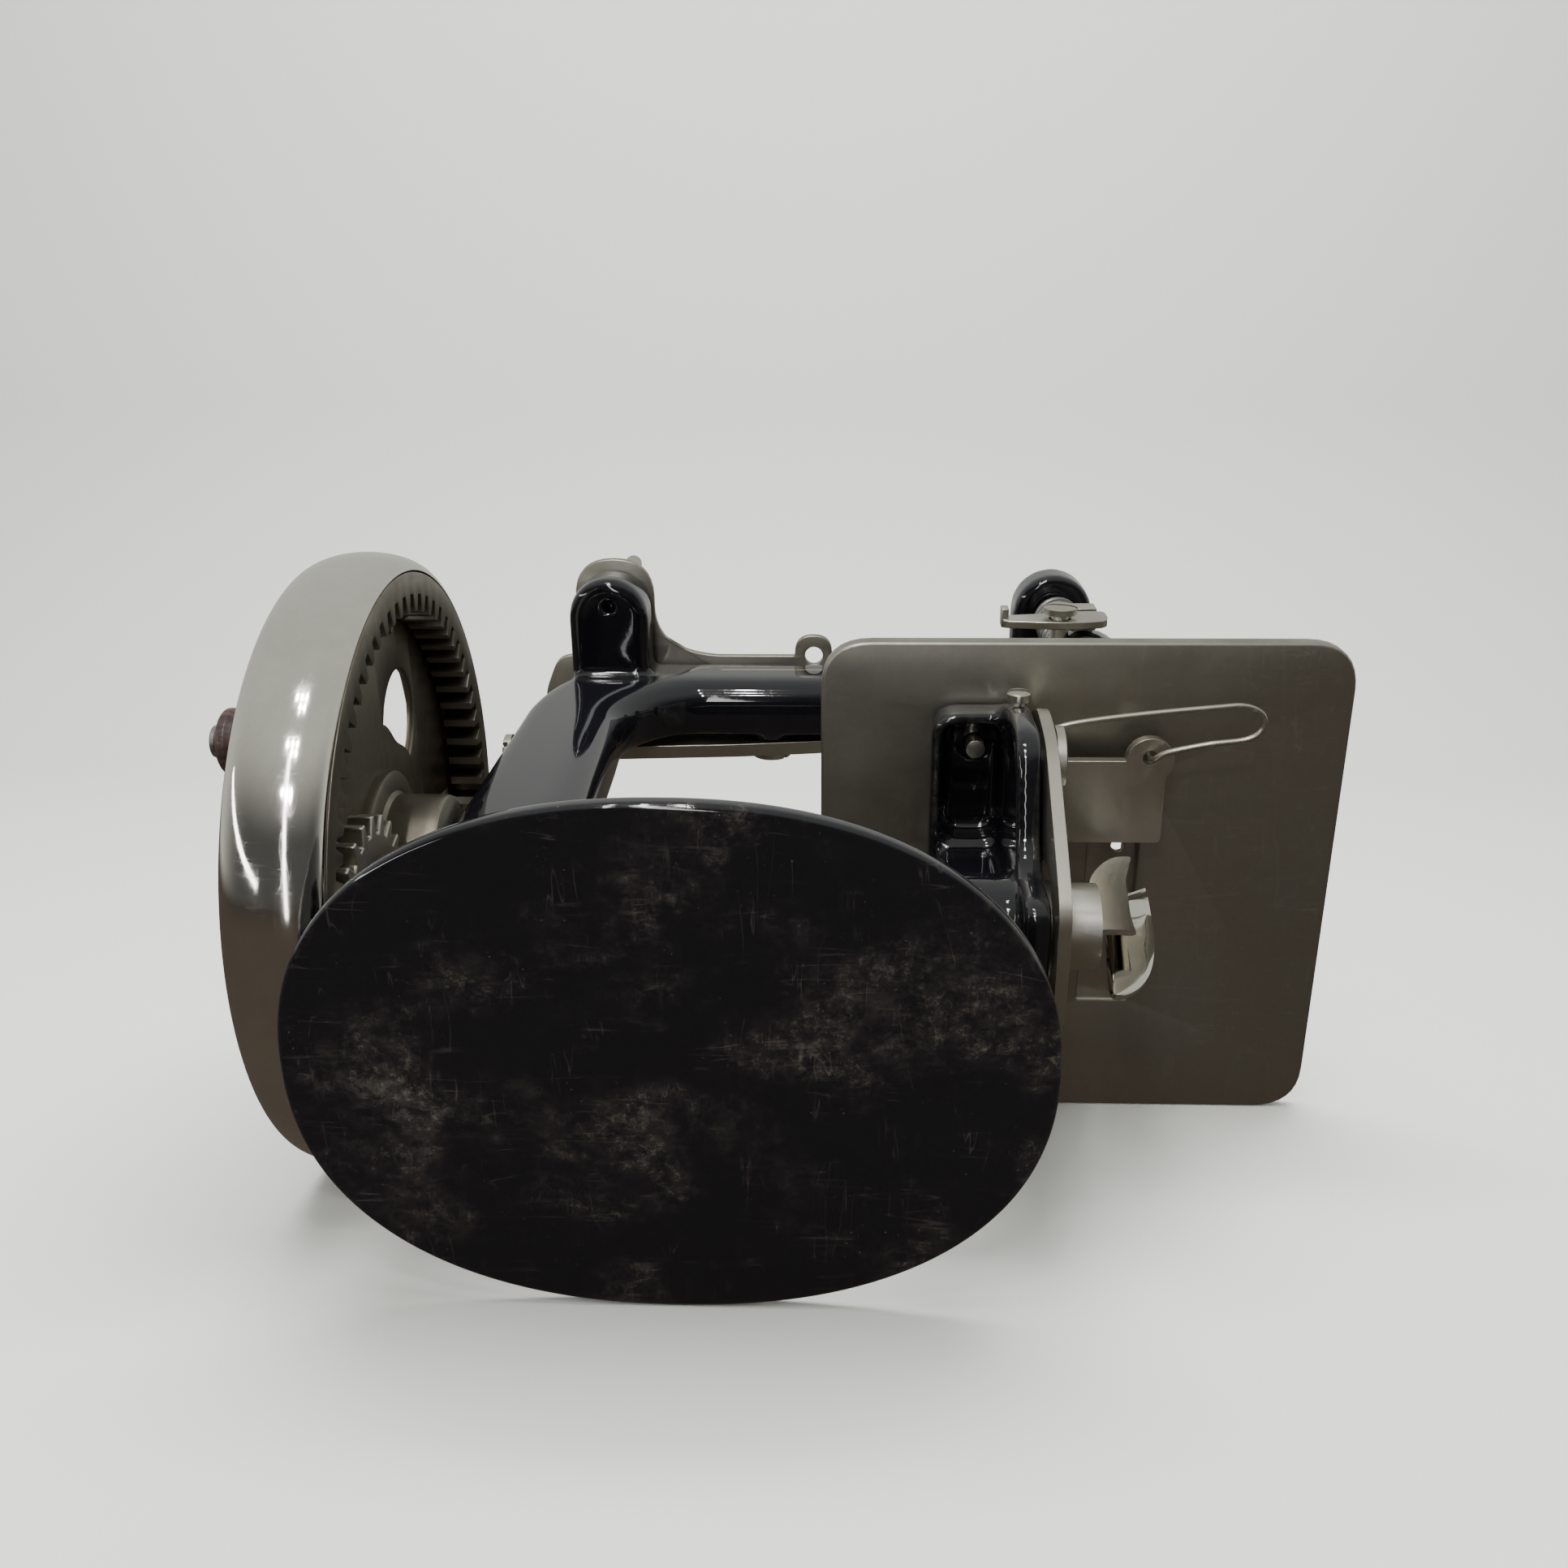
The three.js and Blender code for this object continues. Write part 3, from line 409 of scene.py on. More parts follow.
class Finish:
    """The nodes of a material or a world, with the patterns that surfaces share."""

    def __init__(self, owner):
        self.owner = owner
        owner.use_nodes = True
        self.tree = owner.node_tree
        self.tree.nodes.clear()

    @cached_property
    def position(self):
        """The place on the surface, in the machine's own frame."""
        return self.node("ShaderNodeTexCoord", output="Object")

    def node(self, kind, settings=None, inputs=None, output=0):
        """Adds one node: its settings first, then its sockets' values or links."""
        node = self.tree.nodes.new(kind)
        for key, value in (settings or {}).items():
            setattr(node, key, value)
        for key, value in (inputs or {}).items():
            if isinstance(value, Number):
                self.tree.links.new(value.socket, node.inputs[key])
            elif isinstance(value, tuple) and node.inputs[key].type == "RGBA":
                node.inputs[key].default_value = (*value[:3], 1.0)
            else:
                node.inputs[key].default_value = value
        return Number(self, node.outputs[output]) if node.outputs else node

    def axis(self, name):
        """One coordinate of the surface, in metres."""
        return self.node("ShaderNodeSeparateXYZ", None, {0: self.position}, name)

    def noise(self, size, detail=4, rough=0.55, stretch=(1, 1, 1), twist=0.0):
        """Noise from 0 to 1 whose blotches are about size millimetres across."""
        spread = tuple(1 / (size * MM * s) for s in stretch)
        scaled = self.node("ShaderNodeMapping", None, {"Vector": self.position, "Scale": spread})
        return self.node("ShaderNodeTexNoise", None, {
            "Vector": scaled, "Scale": 1.0, "Detail": detail, "Roughness": rough, "Distortion": twist})

    def scratches(self, size, stretch, width=0.02):
        """Fine lines where a stretched noise passes its middle value."""
        return 1 - abs(self.noise(size, 2, 0.5, stretch, 0.6) - 0.5).between(0.0, width)

    def mix(self, factor, a, b):
        """Colour a to colour b."""
        return self.node("ShaderNodeMix", {"data_type": "RGBA"}, {0: factor, 6: a, 7: b}, 2)

    def edges(self, low=0.52, high=0.58):
        """1 on outward edges, from the surface's pointiness."""
        return self.node("ShaderNodeNewGeometry", output="Pointiness").between(low, high)

    def bump(self, height, strength, distance):
        """A normal from a height."""
        return self.node("ShaderNodeBump", None,
                         {"Height": height, "Strength": strength, "Distance": distance * MM})

    def surface(self, **sockets):
        """The shader itself, linked to the output."""
        named = {key.replace("_", " ").title(): value for key, value in sockets.items()}
        shader = self.node("ShaderNodeBsdfPrincipled", None, named)
        self.node("ShaderNodeOutputMaterial", None, {"Surface": shader})
        return self.owner


def made_once(make):
    """Keeps one copy of each finish, by name."""
    kept = {}

    def find(name, *values):
        if name not in kept:
            kept[name] = make(name, *values)
        return kept[name]
    return find


@made_once
def enamel(name, scuffs=0.25, gilt=False):
    """Baked black enamel: glossy, with a little orange peel, dust in patches, hairline scratches
    and bare metal on the sharpest edges. The gilt line is a band on the arm's back."""
    settings = bpy.context.scene.machine_casting
    f = Finish(bpy.data.materials.new(name))
    cloud = f.noise(19, 5, 0.62, (1.3, 1, 1)).between(0.50, 0.78)
    cloud = cloud * f.noise(3.2, 6, 0.75, (1.8, 1, 1), 0.8).between(0.42, 0.72)
    specks = f.noise(0.55, 2, 0.7).between(0.66, 0.80) * f.noise(9, 3).between(0.35, 0.75)
    lines = f.scratches(14, (3.0, 0.25, 1), 0.012) + f.scratches(10, (0.3, 2.2, 1), 0.010)
    lines = lines * f.noise(8, 3).between(0.48, 0.66)
    worn = f.edges(0.53, 0.60) * f.noise(2.4, 4, 0.7).between(0.36, 0.56)
    grit = f.noise(0.9, 4, 0.8).between(0.44, 0.66)
    patch = f.noise(17, 4, 0.6, (1.3, 1, 1), 0.4).between(0.46, 0.70) * (0.35 + grit)
    dirt = (cloud * 0.5 + patch * 0.75 * f.noise(2.6, 6, 0.8).between(0.40, 0.70)) * scuffs
    dirt = dirt * 0.55 + specks * (0.6 * scuffs) + lines * (0.12 * scuffs)
    skin = f.mix(dirt, tuple(settings.enamel), tuple(settings.dust))
    skin = f.mix(worn * (0.25 + scuffs * 0.4), skin, (0.22, 0.21, 0.19))
    metal = worn * 0.25
    if gilt:
        line = gilt_line(f)
        skin = f.mix(line * 0.92, skin, tuple(bpy.context.scene.machine_metal.gilt))
        metal = metal + line * 0.6
    peel = f.noise(1.1, 2, 0.4) + dirt * 0.6
    return f.surface(
        base_color=skin, metallic=metal, roughness=0.055 + dirt * 0.5 + worn * 0.25,
        normal=f.bump(peel, 0.18, 0.03), coat_weight=0.35, coat_roughness=0.03)


def gilt_line(f):
    """One thin worn line along the arm's back face: a band in Z, between two ends in X."""
    x, y, z = (f.axis(name) * (1 / MM) for name in "XYZ")
    line = 1 - abs(z - 144.2).between(0.10, 0.16)
    span = x.between(-40.5, -40) * (1 - x.between(4, 4.5))
    back = y.between(5.0, 5.4)
    return line * span * back * f.noise(0.7, 3, 0.7).between(0.28, 0.40)


@made_once
def plated(name, tint, low, high, cloudiness, bumps=0.3):
    """Nickel plate: mirror to satin, with cloudy tarnish, tiny pits and hairline scratches."""
    f = Finish(bpy.data.materials.new(name))
    cloud = f.noise(15, 6, 0.6, twist=0.4).between(0.32, 0.70)
    fine = f.noise(1.6, 5, 0.7).between(0.35, 0.70)
    pits = f.noise(0.5, 2, 0.6).between(0.70, 0.78) * f.noise(6, 3).between(0.4, 0.7)
    lines = f.scratches(9, (2.5, 0.2, 1), 0.010) + f.scratches(11, (0.25, 2.0, 2.0), 0.010)
    dull = tuple(0.56 * c for c in tint)
    brown = (dull[0] * 0.80, dull[1] * 0.72, dull[2] * 0.60)
    skin = f.mix(cloud * cloudiness, tint, dull)
    skin = f.mix(pits * 0.4 + fine * (0.25 * cloudiness), skin, brown)
    # Convex edges lightened towards a pale colour brighter than the plate itself: a painted highlight.
    skin = f.mix(f.edges(0.54, 0.62) * 0.6, skin, (0.86, 0.84, 0.78))
    rough = low + (high - low) * (cloud * 0.7 + fine * 0.3) + pits * 0.2 + lines * 0.05
    height = f.noise(0.9, 4, 0.6) * 0.3 + lines * 0.2 - pits * 0.6
    return f.surface(base_color=skin, metallic=1.0, roughness=rough, normal=f.bump(height, bumps, 0.02))


@made_once
def machined(name, tint, stretch):
    """Bare turned or drawn metal: fine lines across one direction under a film of old oil."""
    f = Finish(bpy.data.materials.new(name))
    grain = f.noise(0.9, 3, 0.6, stretch)
    oil = f.noise(5, 4, 0.6).between(0.4, 0.7)
    skin = f.mix(oil * 0.6, tint, tuple(0.5 * c for c in tint))
    skin = f.mix(f.noise(0.6, 3).between(0.64, 0.72) * 0.5, skin, (0.10, 0.05, 0.025))
    return f.surface(base_color=skin, metallic=0.95, roughness=0.24 + oil * 0.2,
                     normal=f.bump(grain, 0.25, 0.02))


@made_once
def varnished_wood(name):
    """Stained hardwood: dark grain streaks along X under worn varnish."""
    settings = bpy.context.scene.machine_knob
    f = Finish(bpy.data.materials.new(name))
    grain = f.noise(0.9, 5, 0.7, (14, 1, 1), 0.3).between(0.40, 0.62)
    rub = f.edges(0.51, 0.57) * f.noise(1.4, 4, 0.7).between(0.3, 0.6)
    skin = f.mix(grain, tuple(settings.stain), tuple(settings.grain))
    skin = f.mix(rub * 0.5, skin, (0.13, 0.065, 0.045))
    return f.surface(base_color=skin, roughness=0.40 + grain * 0.12 + rub * 0.15,
                     normal=f.bump(grain, 0.25, 0.05), coat_weight=0.4, coat_roughness=0.12)


def nickel():
    return plated("dulled_nickel", tuple(bpy.context.scene.machine_metal.nickel), 0.36, 0.50, 0.45, 0.08)


def satin_nickel():
    return plated("satin_nickel", tuple(1.25 * c for c in bpy.context.scene.machine_metal.nickel),
                  0.30, 0.44, 0.35, 0.10)


# Darker brown copy of the nickel for the ring gear and web inside the hand wheel: its tint is painted shade and
# painted reflection of the black column, over the tarnish clouds that all the plate has.
def tarnished_nickel():
    return plated("tarnished_nickel", (0.30, 0.27, 0.22), 0.32, 0.50, 0.55, 0.10)


def bright_nickel():
    return plated("bright_nickel", tuple(bpy.context.scene.machine_metal.bright), 0.035, 0.12, 0.22, 0.06)


def steel():
    return machined("oiled_steel", tuple(bpy.context.scene.machine_metal.steel), (1, 1, 6))


def brass():
    return machined("brass", tuple(bpy.context.scene.machine_metal.brass), (6, 1, 1))


# ------------------------------------------------------------------ casting


class SEWING_OT_oval_base(bpy.types.Operator):
    """Make the oval base: a superellipse |x/a|^p + |y/b|^p = 1 with a worn, rounded lower edge"""
    bl_idname = "sewing.oval_base"
    bl_label = "Oval base"

    power = 2.243
    lift = 0.06  # stands this much proud of the casting's own foot, in millimetres

    def execute(self, context):
        edge = context.scene.machine_casting.rim / MM
        low, _ = corners("frame_casting")
        half_x, half_y, thick = 48.3, -low[1], 3.0
        a = np.linspace(0, 2 * pi, 320, endpoint=False)[:, None]
        outline_x = np.sign(np.cos(a)) * np.abs(np.cos(a)) ** (2 / self.power)
        outline_y = np.sign(np.sin(a)) * np.abs(np.sin(a)) ** (2 / self.power)
        turn = np.radians(np.linspace(0, 90, 7))
        inset = np.concatenate([[edge * 3, edge * 2.3, edge * 1.9], edge * (1 - np.sin(turn)),
                                1.3 * (1 - np.cos(turn))])
        level = np.concatenate([[0, -self.lift, -self.lift], edge * (1 - np.cos(turn)) - self.lift,
                                thick - 1.3 + self.lift + 1.3 * np.sin(turn)])
        shares = np.array([1.0, 0.8, 0.5, 0.2, 0.0])
        inset = np.concatenate([np.full(4, inset[0]), inset, np.full(4, inset[-1])])
        reach = np.concatenate([shares[:0:-1], np.ones(len(level)), shares[1:]])
        level = np.concatenate([np.zeros(4), level, np.full(4, level[-1])])
        x = outline_x * (half_x + self.lift - inset) * reach
        y = outline_y * (half_y + self.lift - inset) * reach
        mesh = joined([sheet(place("z", x, y, level), wrap_u=True)])
        new_piece("oval_base", mesh, enamel("scuffed_enamel", context.scene.machine_casting.scuffs),
                  "frame", ["frame_casting"], 60)
        return {"FINISHED"}


def arm_form():
    """The column and arm: across each station of the run from the foot round to the head, the
    section's point (a, y) goes to middle + a * half * (outer - inner) direction, at depth y.
    The section's back edge on the throat side has a large radius."""
    t = np.linspace(0, 1, 30)[:, None]
    corner = np.linspace(0, 90, 19)
    inner = np.vstack([
        (1 - t) * (20.3, 2) + t * (21.2, 70), np.array((21.2, 70)) + t[1:] * (1.2, 47.5),
        arc(22.4 - 16, 117.5, 16, 0, 90, 18)[1:], np.array((6.4, 133.5)) + t[1:] * (-64.4, 0)])
    outer = np.vstack([
        (1 - t) * (41.7, 2) + t * (41.7, 70), np.array((41.7, 70)) + t[1:] * (-0.9, 47.5),
        np.column_stack([24.8 + 16 * np.cos(np.radians(corner)),
                         117.5 + 32.2 * np.sin(np.radians(corner)) ** 1.15])[1:],
        np.array((24.8, 149.7)) + t[1:] * (-82.8, 0)])
    section = rounded([(-8.1, -5, 2.2), (8.1, -5, 1.6), (8.1, 6.5, 2.0), (-8.1, 6.5, 6.2)], 10)
    a, y = section[:, 0] / 8.1, section[:, 1]
    middle, half = (inner + outer) / 2, (outer - inner) / 2
    across = middle[:, None] + half[:, None] * a[None, :, None]
    grid = place("y", across[..., 0], across[..., 1], np.broadcast_to(y, across.shape[:2]))
    ends = [np.repeat(grid[i].mean(0)[None, None], grid.shape[1], 1) for i in (0, -1)]
    return sheet(np.concatenate([ends[0], grid, ends[1]]), wrap_v=True)


def skirt(x0, x1, y0, y1, spread, top):
    """A flared foot: a rounded rectangle whose distance outwards is spread (1 - t)^2.4 at height t."""
    t = np.linspace(0, 1, 12)[:, None]
    a = np.linspace(0, 2 * pi, 96, endpoint=False)[None, :]
    out = spread * (1 - t) ** 2.4
    x = (x0 + x1) / 2 + ((x1 - x0) / 2 + out) * np.sign(np.cos(a)) * np.abs(np.cos(a)) ** 0.4
    y = (y0 + y1) / 2 + ((y1 - y0) / 2 + out) * np.sign(np.sin(a)) * np.abs(np.sin(a)) ** 0.4
    grid = place("z", x, y, 1 + (top - 1) * t)
    ends = [np.repeat(grid[i].mean(0)[None, None], grid.shape[1], 1) for i in (0, -1)]
    return sheet(np.concatenate([ends[0], grid, ends[1]]), wrap_v=True)


def casting_forms():
    """The forms that the casting blends together."""
    shaft = (1.8, 36.9)
    head = [block(-73.6, -56.5, 3.6, 11, 98, 149.7, 1.2)]
    for z0, z1 in ((98, 105), (141, 149.7)):
        head += [slab("z", rectangle(-73.6, -7, -57.6, 6, 3), z0, z1, 1.0),
                 slab("z", tongue(-64.6, 8, 8, 27.4), z0, z1, 1.2)]
    post = [
        slab("x", rounded([(-12, 24, 4), (11, 24, 4), (11, 38, 6), (28.5, 44, 5), (28.5, 57, 4),
                           (25, 69.2, 2), (-14, 69.2, 2)]), -50, -46.3, 0.5),
        slab("z", rectangle(-50, -14, -35.4, 25, 4), 62.5, 69.2, 1.0,
             [rectangle(-46.2, 4.2, -37.2, 23.2, 2.6)]),
        slab("z", rectangle(-48, 2, -36, 24, 2), 66.6, 69.0, 0.3),
        slab("y", rounded([(-44.5, 2, 0), (-33, 2, 0), (-36.5, 12, 6), (-36.5, 64, 0), (-47.5, 64, 0),
                           (-47.5, 26, 6)]), -11, 2.5, 2.0),
        block(-37, 21, -3.5, 5.5, 2, 11, 1.6),
    ]
    bosses = [turned("x", shaft, [(0, a), (7.0, a), (7.6, a + 0.6), (7.6, b - 0.6), (7.0, b), (0, b)])
              for a, b in ((-49.9, -34.6), (19.6, 26.6), (35.6, 42.6))]
    lug = [slab("z", tongue(27.2, 8.2, 3, 27), 139.5, 149.7, 1.6),
           turned("y", (-6.5, 140), [(0, -6.4), (5.2, -6.4), (5.2, 0), (0, 0)])]
    feet = [skirt(20.6, 41.4, -4.6, 6.2, 4.2, 12), skirt(-44, -34, -10.4, 2, 3.4, 11),
            skirt(-36, 20, -3, 5, 3.0, 7)]
    return [arm_form(), *head, *post, *bosses, *lug, *feet]


def casting_hollows():
    """The window for the crank, the bores and the screw holes."""
    def bore(axis, centre, radius, low, high):
        return turned(axis, centre, [(0, low), (radius, low), (radius, high), (0, high)], 48)
    return [
        block(26.6, 35.6, -9, 11, 19, 57, 0.6), block(26.6, 35.6, -9, 4.4, 55, 64, 0.6),
        bore("x", (1.8, 36.9), 4.7, -52, -34), bore("x", (1.8, 36.9), 4.7, 34, 44),
        bore("x", (0, 63.5), 4.3, 30, 44), bore("z", (26.8, 21.2), 1.35, 136, 143),
        bore("z", (-67.4, -1), 2.5, 96, 152), bore("z", (-65, 19), 2.4, 96, 152),
        bore("z", (-42.4, 18.8), 1.6, 60, 71),
    ]


class SEWING_OT_casting(bpy.types.Operator):
    """Make the column, arm, head and post as one casting: the forms are blended on a fine grid,
    smoothed, and the bores are cut"""
    bl_idname = "sewing.casting"
    bl_label = "Column, arm and post"

    def execute(self, context):
        grain = context.scene.machine_casting.voxel
        blended = applied(joined(casting_forms()), [
            ("REMESH", {"mode": "VOXEL", "voxel_size": grain}),
            ("SMOOTH", {"factor": 0.5, "iterations": 5}),
        ])
        cutters = []
        for shape in casting_hollows():
            cutter = bpy.data.objects.new("cutter", joined([shape]))
            context.scene.collection.objects.link(cutter)
            cutters.append(cutter)
        cut = applied(blended, [
            ("BOOLEAN", {"operation": "DIFFERENCE", "solver": "MANIFOLD", "object": cutter})
            for cutter in cutters])
        for cutter in cutters:
            bpy.data.objects.remove(cutter)
        mesh = applied(cut, [
            ("REMESH", {"mode": "VOXEL", "voxel_size": grain}),
            ("SMOOTH", {"factor": 0.5, "iterations": 3}),
        ])
        new_piece("arm_casting", mesh, enamel("gloss_enamel", 0.10, True),
                  "frame", ["frame_casting"], 80)
        return {"FINISHED"}


# ------------------------------------------------------------------ hand wheel and knob


def gear_outline(teeth, inner, outer, inner_share, outer_share, turn, centre):
    """Four points to a tooth: two at the inner radius and two at the outer, each at an angle of
    turn + (tooth + share) * pitch."""
    tooth = np.arange(teeth)[:, None]
    shares = np.array([-inner_share, -outer_share, outer_share, inner_share])
    radius = np.array([inner, outer, outer, inner])
    a = turn + (tooth + shares) * 2 * pi / teeth
    points = np.stack([centre[0] + radius * np.cos(a), centre[1] + radius * np.sin(a)], -1)
    return points.reshape(-1, 2)


def spoke_window(start, end, inner, outer, centre):
    """A window between two radius functions of t over an angle from start to end, in degrees."""
    t = np.linspace(0, 1, 33)
    a = np.radians(start + (end - start) * t)
    out, back = outer(t), inner(t)
    return np.column_stack([
        centre[0] + np.concatenate([out * np.cos(a), (back * np.cos(a))[::-1]]),
        centre[1] + np.concatenate([out * np.sin(a), (back * np.sin(a))[::-1]])])


class SEWING_OT_hand_wheel(bpy.types.Operator):
    """Make the hand wheel: polished rim, ring of inward teeth, spoked web and hub"""
    bl_idname = "sewing.hand_wheel"
    bl_label = "Hand wheel"

    teeth, module = 63, 1.3

    def execute(self, context):
        axis = WHEEL_AXIS
        mesh_turn = np.arctan2(SHAFT_AXIS[1] - axis[1], SHAFT_AXIS[0] - axis[0])
        t = np.linspace(-pi / 2, pi / 2, 48)
        tyre = np.column_stack([46.25 + 2.95 * np.cos(t), 54.3 + 7.2 * np.sin(t)])
        back = rounded([(44.6, 61.0, 1.0), (43.8, 55, 1.0), (44.4, 47.4, 0.3)], 6)
        rim = turned("x", axis, np.vstack([tyre, back, tyre[:1]]), 256)
        pitch = self.module * self.teeth / 2
        hollow = gear_outline(self.teeth, pitch - 0.95 * self.module, pitch + 1.2 * self.module,
                              0.33, 0.17, mesh_turn, axis)
        ring = slab("x", circle(*axis, 46.0, 192), 46.98, 52.9, 0.14, [hollow])
        windows = []
        for turn in (0, 120, 240):
            windows += [
                spoke_window(turn + 18, turn + 60, lambda t: 20.6 + 0.8 * np.cos(2 * pi * t),
                             lambda t: 21.6 + 10.6 * np.sin(pi * t) ** 0.6, axis),
                spoke_window(turn - 24, turn + 26, lambda t: 29.5 + 7.6 * t, lambda t: 39.2 + 0 * t, axis),
            ]
        web = slab("x", circle(*axis, 44.0, 192), 53.4, 54.7, 0.45, windows)
        hub = turned("x", axis, [
            (4.3, 42.3), (9.2, 42.3), (9.8, 42.6), (10, 43.2), (10, 50.9), (10.6, 51.5), (13.2, 51.6),
            (13.8, 51.9), (14, 52.5), (14, 54.8), (13.6, 55.4), (11, 55.6), (10, 56.2), (9.3, 56.4),
            (4.3, 56.4), (4.3, 42.3)], 96)
        new_piece("wheel_rim", joined([rim]), bright_nickel(), "wheel", ["hand_wheel"],
                  50)
        # The ring gear and web take the darker nickel, whose dark brown tint is painted shade inside the wheel.
        new_piece("wheel_ring_gear", joined([ring]), tarnished_nickel(), "wheel", ["hand_wheel"],
                  30)
        new_piece("wheel_web", joined([web, hub]), tarnished_nickel(), "wheel", ["hand_wheel"], 40)
        finished_copy("wheel_washer", nickel(), "frame")
        finished_copy("wheel_stud", steel(), "frame")
        return {"FINISHED"}


class SEWING_OT_knob(bpy.types.Operator):
    """Turn the crank's wooden knob, spool shaped, with two scored rings, and its pin"""
    bl_idname = "sewing.knob"
    bl_label = "Crank knob"

    def execute(self, context):
        low, high = corners("crank_knob")
        centre = (low[1:] + high[1:]) / 2
        reach = high[0] - low[0]
        t = np.linspace(0, 1, 90)
        waist = 0.85 * np.sin(pi * np.clip(t / 0.62, 0, 1))
        swell = 1.0 * np.clip((t - 0.45) / 0.4, 0, 1) ** 2
        front = 1.9 * np.clip((t - 0.90) / 0.10, 0, 1) ** 2.2
        back = 0.7 * np.clip((0.05 - t) / 0.05, 0, 1) ** 2
        rings = 0.16 * np.exp(-((t[:, None] - [0.70, 0.75]) / 0.008) ** 2).sum(1)
        radius = 3.9 - waist + swell - front - back - rings
        radius = np.minimum(radius, (high[1] - low[1]) / 2)
        profile = np.column_stack([radius, low[0] + reach * t])
        profile = np.vstack([[(1.8, low[0])], profile, [(1.8, high[0]), (1.8, low[0])]])
        new_piece("knob_turning", joined([turned("x", centre, profile)]), varnished_wood("varnished_wood"),
                  "knob", ["crank_knob"], 45)
        finished_copy("crank_pin", steel(), "wheel")
        return {"FINISHED"}


# ------------------------------------------------------------------ plates


class SEWING_OT_table(bpy.types.Operator):
    """Make the square work table and the needle plate let into it"""
    bl_idname = "sewing.table"
    bl_label = "Work table"

    def execute(self, context):
        edge = context.scene.machine_metal.edge / MM
        low, high = corners("work_table")
        screws = [(-42.4, 18.8), (-42.4, -8.5)]
        table = slab("z", rectangle(low[0], low[1], high[0], high[1], 8.0), low[2], high[2], edge + 0.25,
                     [rectangle(-70.3, -29, -62.1, 12, 0.3), *(circle(x, y, 3.4) for x, y in screws)])
        new_piece("table_plate", joined([table]), nickel(), "frame", ["work_table"], 40)
        low, high = corners("needle_plate")
        slots = [rectangle(x, 1.6, x + 1.4, 11, 0.3) for x in (-69.6, -64.6)]
        plate = slab("z", rectangle(low[0], low[1], high[0], high[1], 1.5), high[2] - 0.9, high[2] + 0.08,
                     0.12, [circle(-67.4, -1, 1.1), *slots])
        new_piece("needle_plate_sheet", joined([plate]), nickel(), "frame", ["needle_plate"], 40)
        return {"FINISHED"}


class SEWING_OT_top_plate(bpy.types.Operator):
    """Make the plate along the arm's top, with its rounded lobe for the spool and its thread eyelet"""
    bl_idname = "sewing.top_plate"
    bl_label = "Top plate"

    def execute(self, context):
        low, high = corners("top_plate")
        back, crest = 7.8, high[1]
        outline = rounded([
            (-52, low[1], 4), (38, low[1], 4), (44.4, -3, 5), (40, back, 3), (35.5, back, 1.2),
            (35.5, crest, 8.3), (18.7, crest, 8.3), (18.7, 12.5, 6), (11, back, 7),
            (-11.2, back, 0.5), (-11.2, 12.3, 3.9), (-19.2, 12.3, 3.9), (-19.2, back, 0.5),
            (-52, back, 4)])
        holes = [circle(-15.3, 7.8, 1.9), circle(26.8, 21.2, 2.8), circle(-20, -3.4, 1.7)]
        plate = slab("z", outline, low[2], high[2], 0.3, holes)
        new_piece("top_plate_sheet", joined([plate]), nickel(), "frame", ["top_plate"], 40)
        return {"FINISHED"}


# ------------------------------------------------------------------ looper, springs, screws and bars


def ribbon(middle, half_width, thickness, across, cup=0.10):
    """A bent strip: middle(s) + t * half_width(s) * across(s) for t from -1 to 1, cupped by a share
    of its width, with a second face one thickness behind, joined round the edge."""
    t = np.linspace(-1, 1, 17)[None, :, None]
    ahead = unit(np.gradient(middle, axis=0))
    across = unit(across - ahead * np.sum(across * ahead, axis=1, keepdims=True))
    face = np.cross(ahead, across)
    width = half_width[:, None, None]
    front = middle[:, None] + t * width * across[:, None] + cup * width * (1 - t ** 2) * face[:, None]
    taper = thickness * (1 - 0.5 * np.abs(t) ** 6)
    back = front - taper * face[:, None]
    shell = np.concatenate([front, back[:, ::-1]], axis=1)
    ends = [np.repeat(shell[i].mean(0)[None, None], shell.shape[1], 1) for i in (0, -1)]
    return sheet(np.concatenate([ends[0], shell, ends[1]]), wrap_v=True)


class SEWING_OT_looper(bpy.types.Operator):
    """Make the polished looper: a blade that hangs from the hub and a hood that curls up to a point
    beside the needle"""
    bl_idname = "sewing.looper"
    bl_label = "Looper"

    def execute(self, context):
        hood = path_through([(-60.6, 1.8, 35.5), (-60.8, 1.8, 41), (-61.5, 2.0, 46.6),
                             (-62.4, 2.2, 52), (-64.6, 2.4, 57.0), (-66.9, 2.6, 59.3)], 60)
        s = np.linspace(0, 1, 60)
        hood_half = 0.12 + 2.9 * np.clip(1 - s ** 3.4, 0, 1) ** 0.8
        blade = path_through([(-63.6, 1.6, 47.6), (-64.0, 0.4, 47.4), (-64.1, -1.0, 45.0),
                              (-63.8, -2.2, 40), (-62.7, -3.0, 34), (-61.4, -3.4, 29.6),
                              (-59.4, -3.6, 25.4)], 80)
        s = np.linspace(0, 1, 80)
        blade_half = 0.3 + 3.4 * np.clip(1 - s ** 4, 0, 1) ** 0.7
        side = np.array([[1.0, 0.0, 0.0]])
        mesh = joined([ribbon(hood, hood_half, 0.9, np.repeat(side, 60, 0)),
                       ribbon(blade, blade_half, 0.9, np.repeat(side, 80, 0), -0.04)])
        new_piece("looper_hook", mesh, bright_nickel(), "shaft", ["looper"], 50)
        return {"FINISHED"}


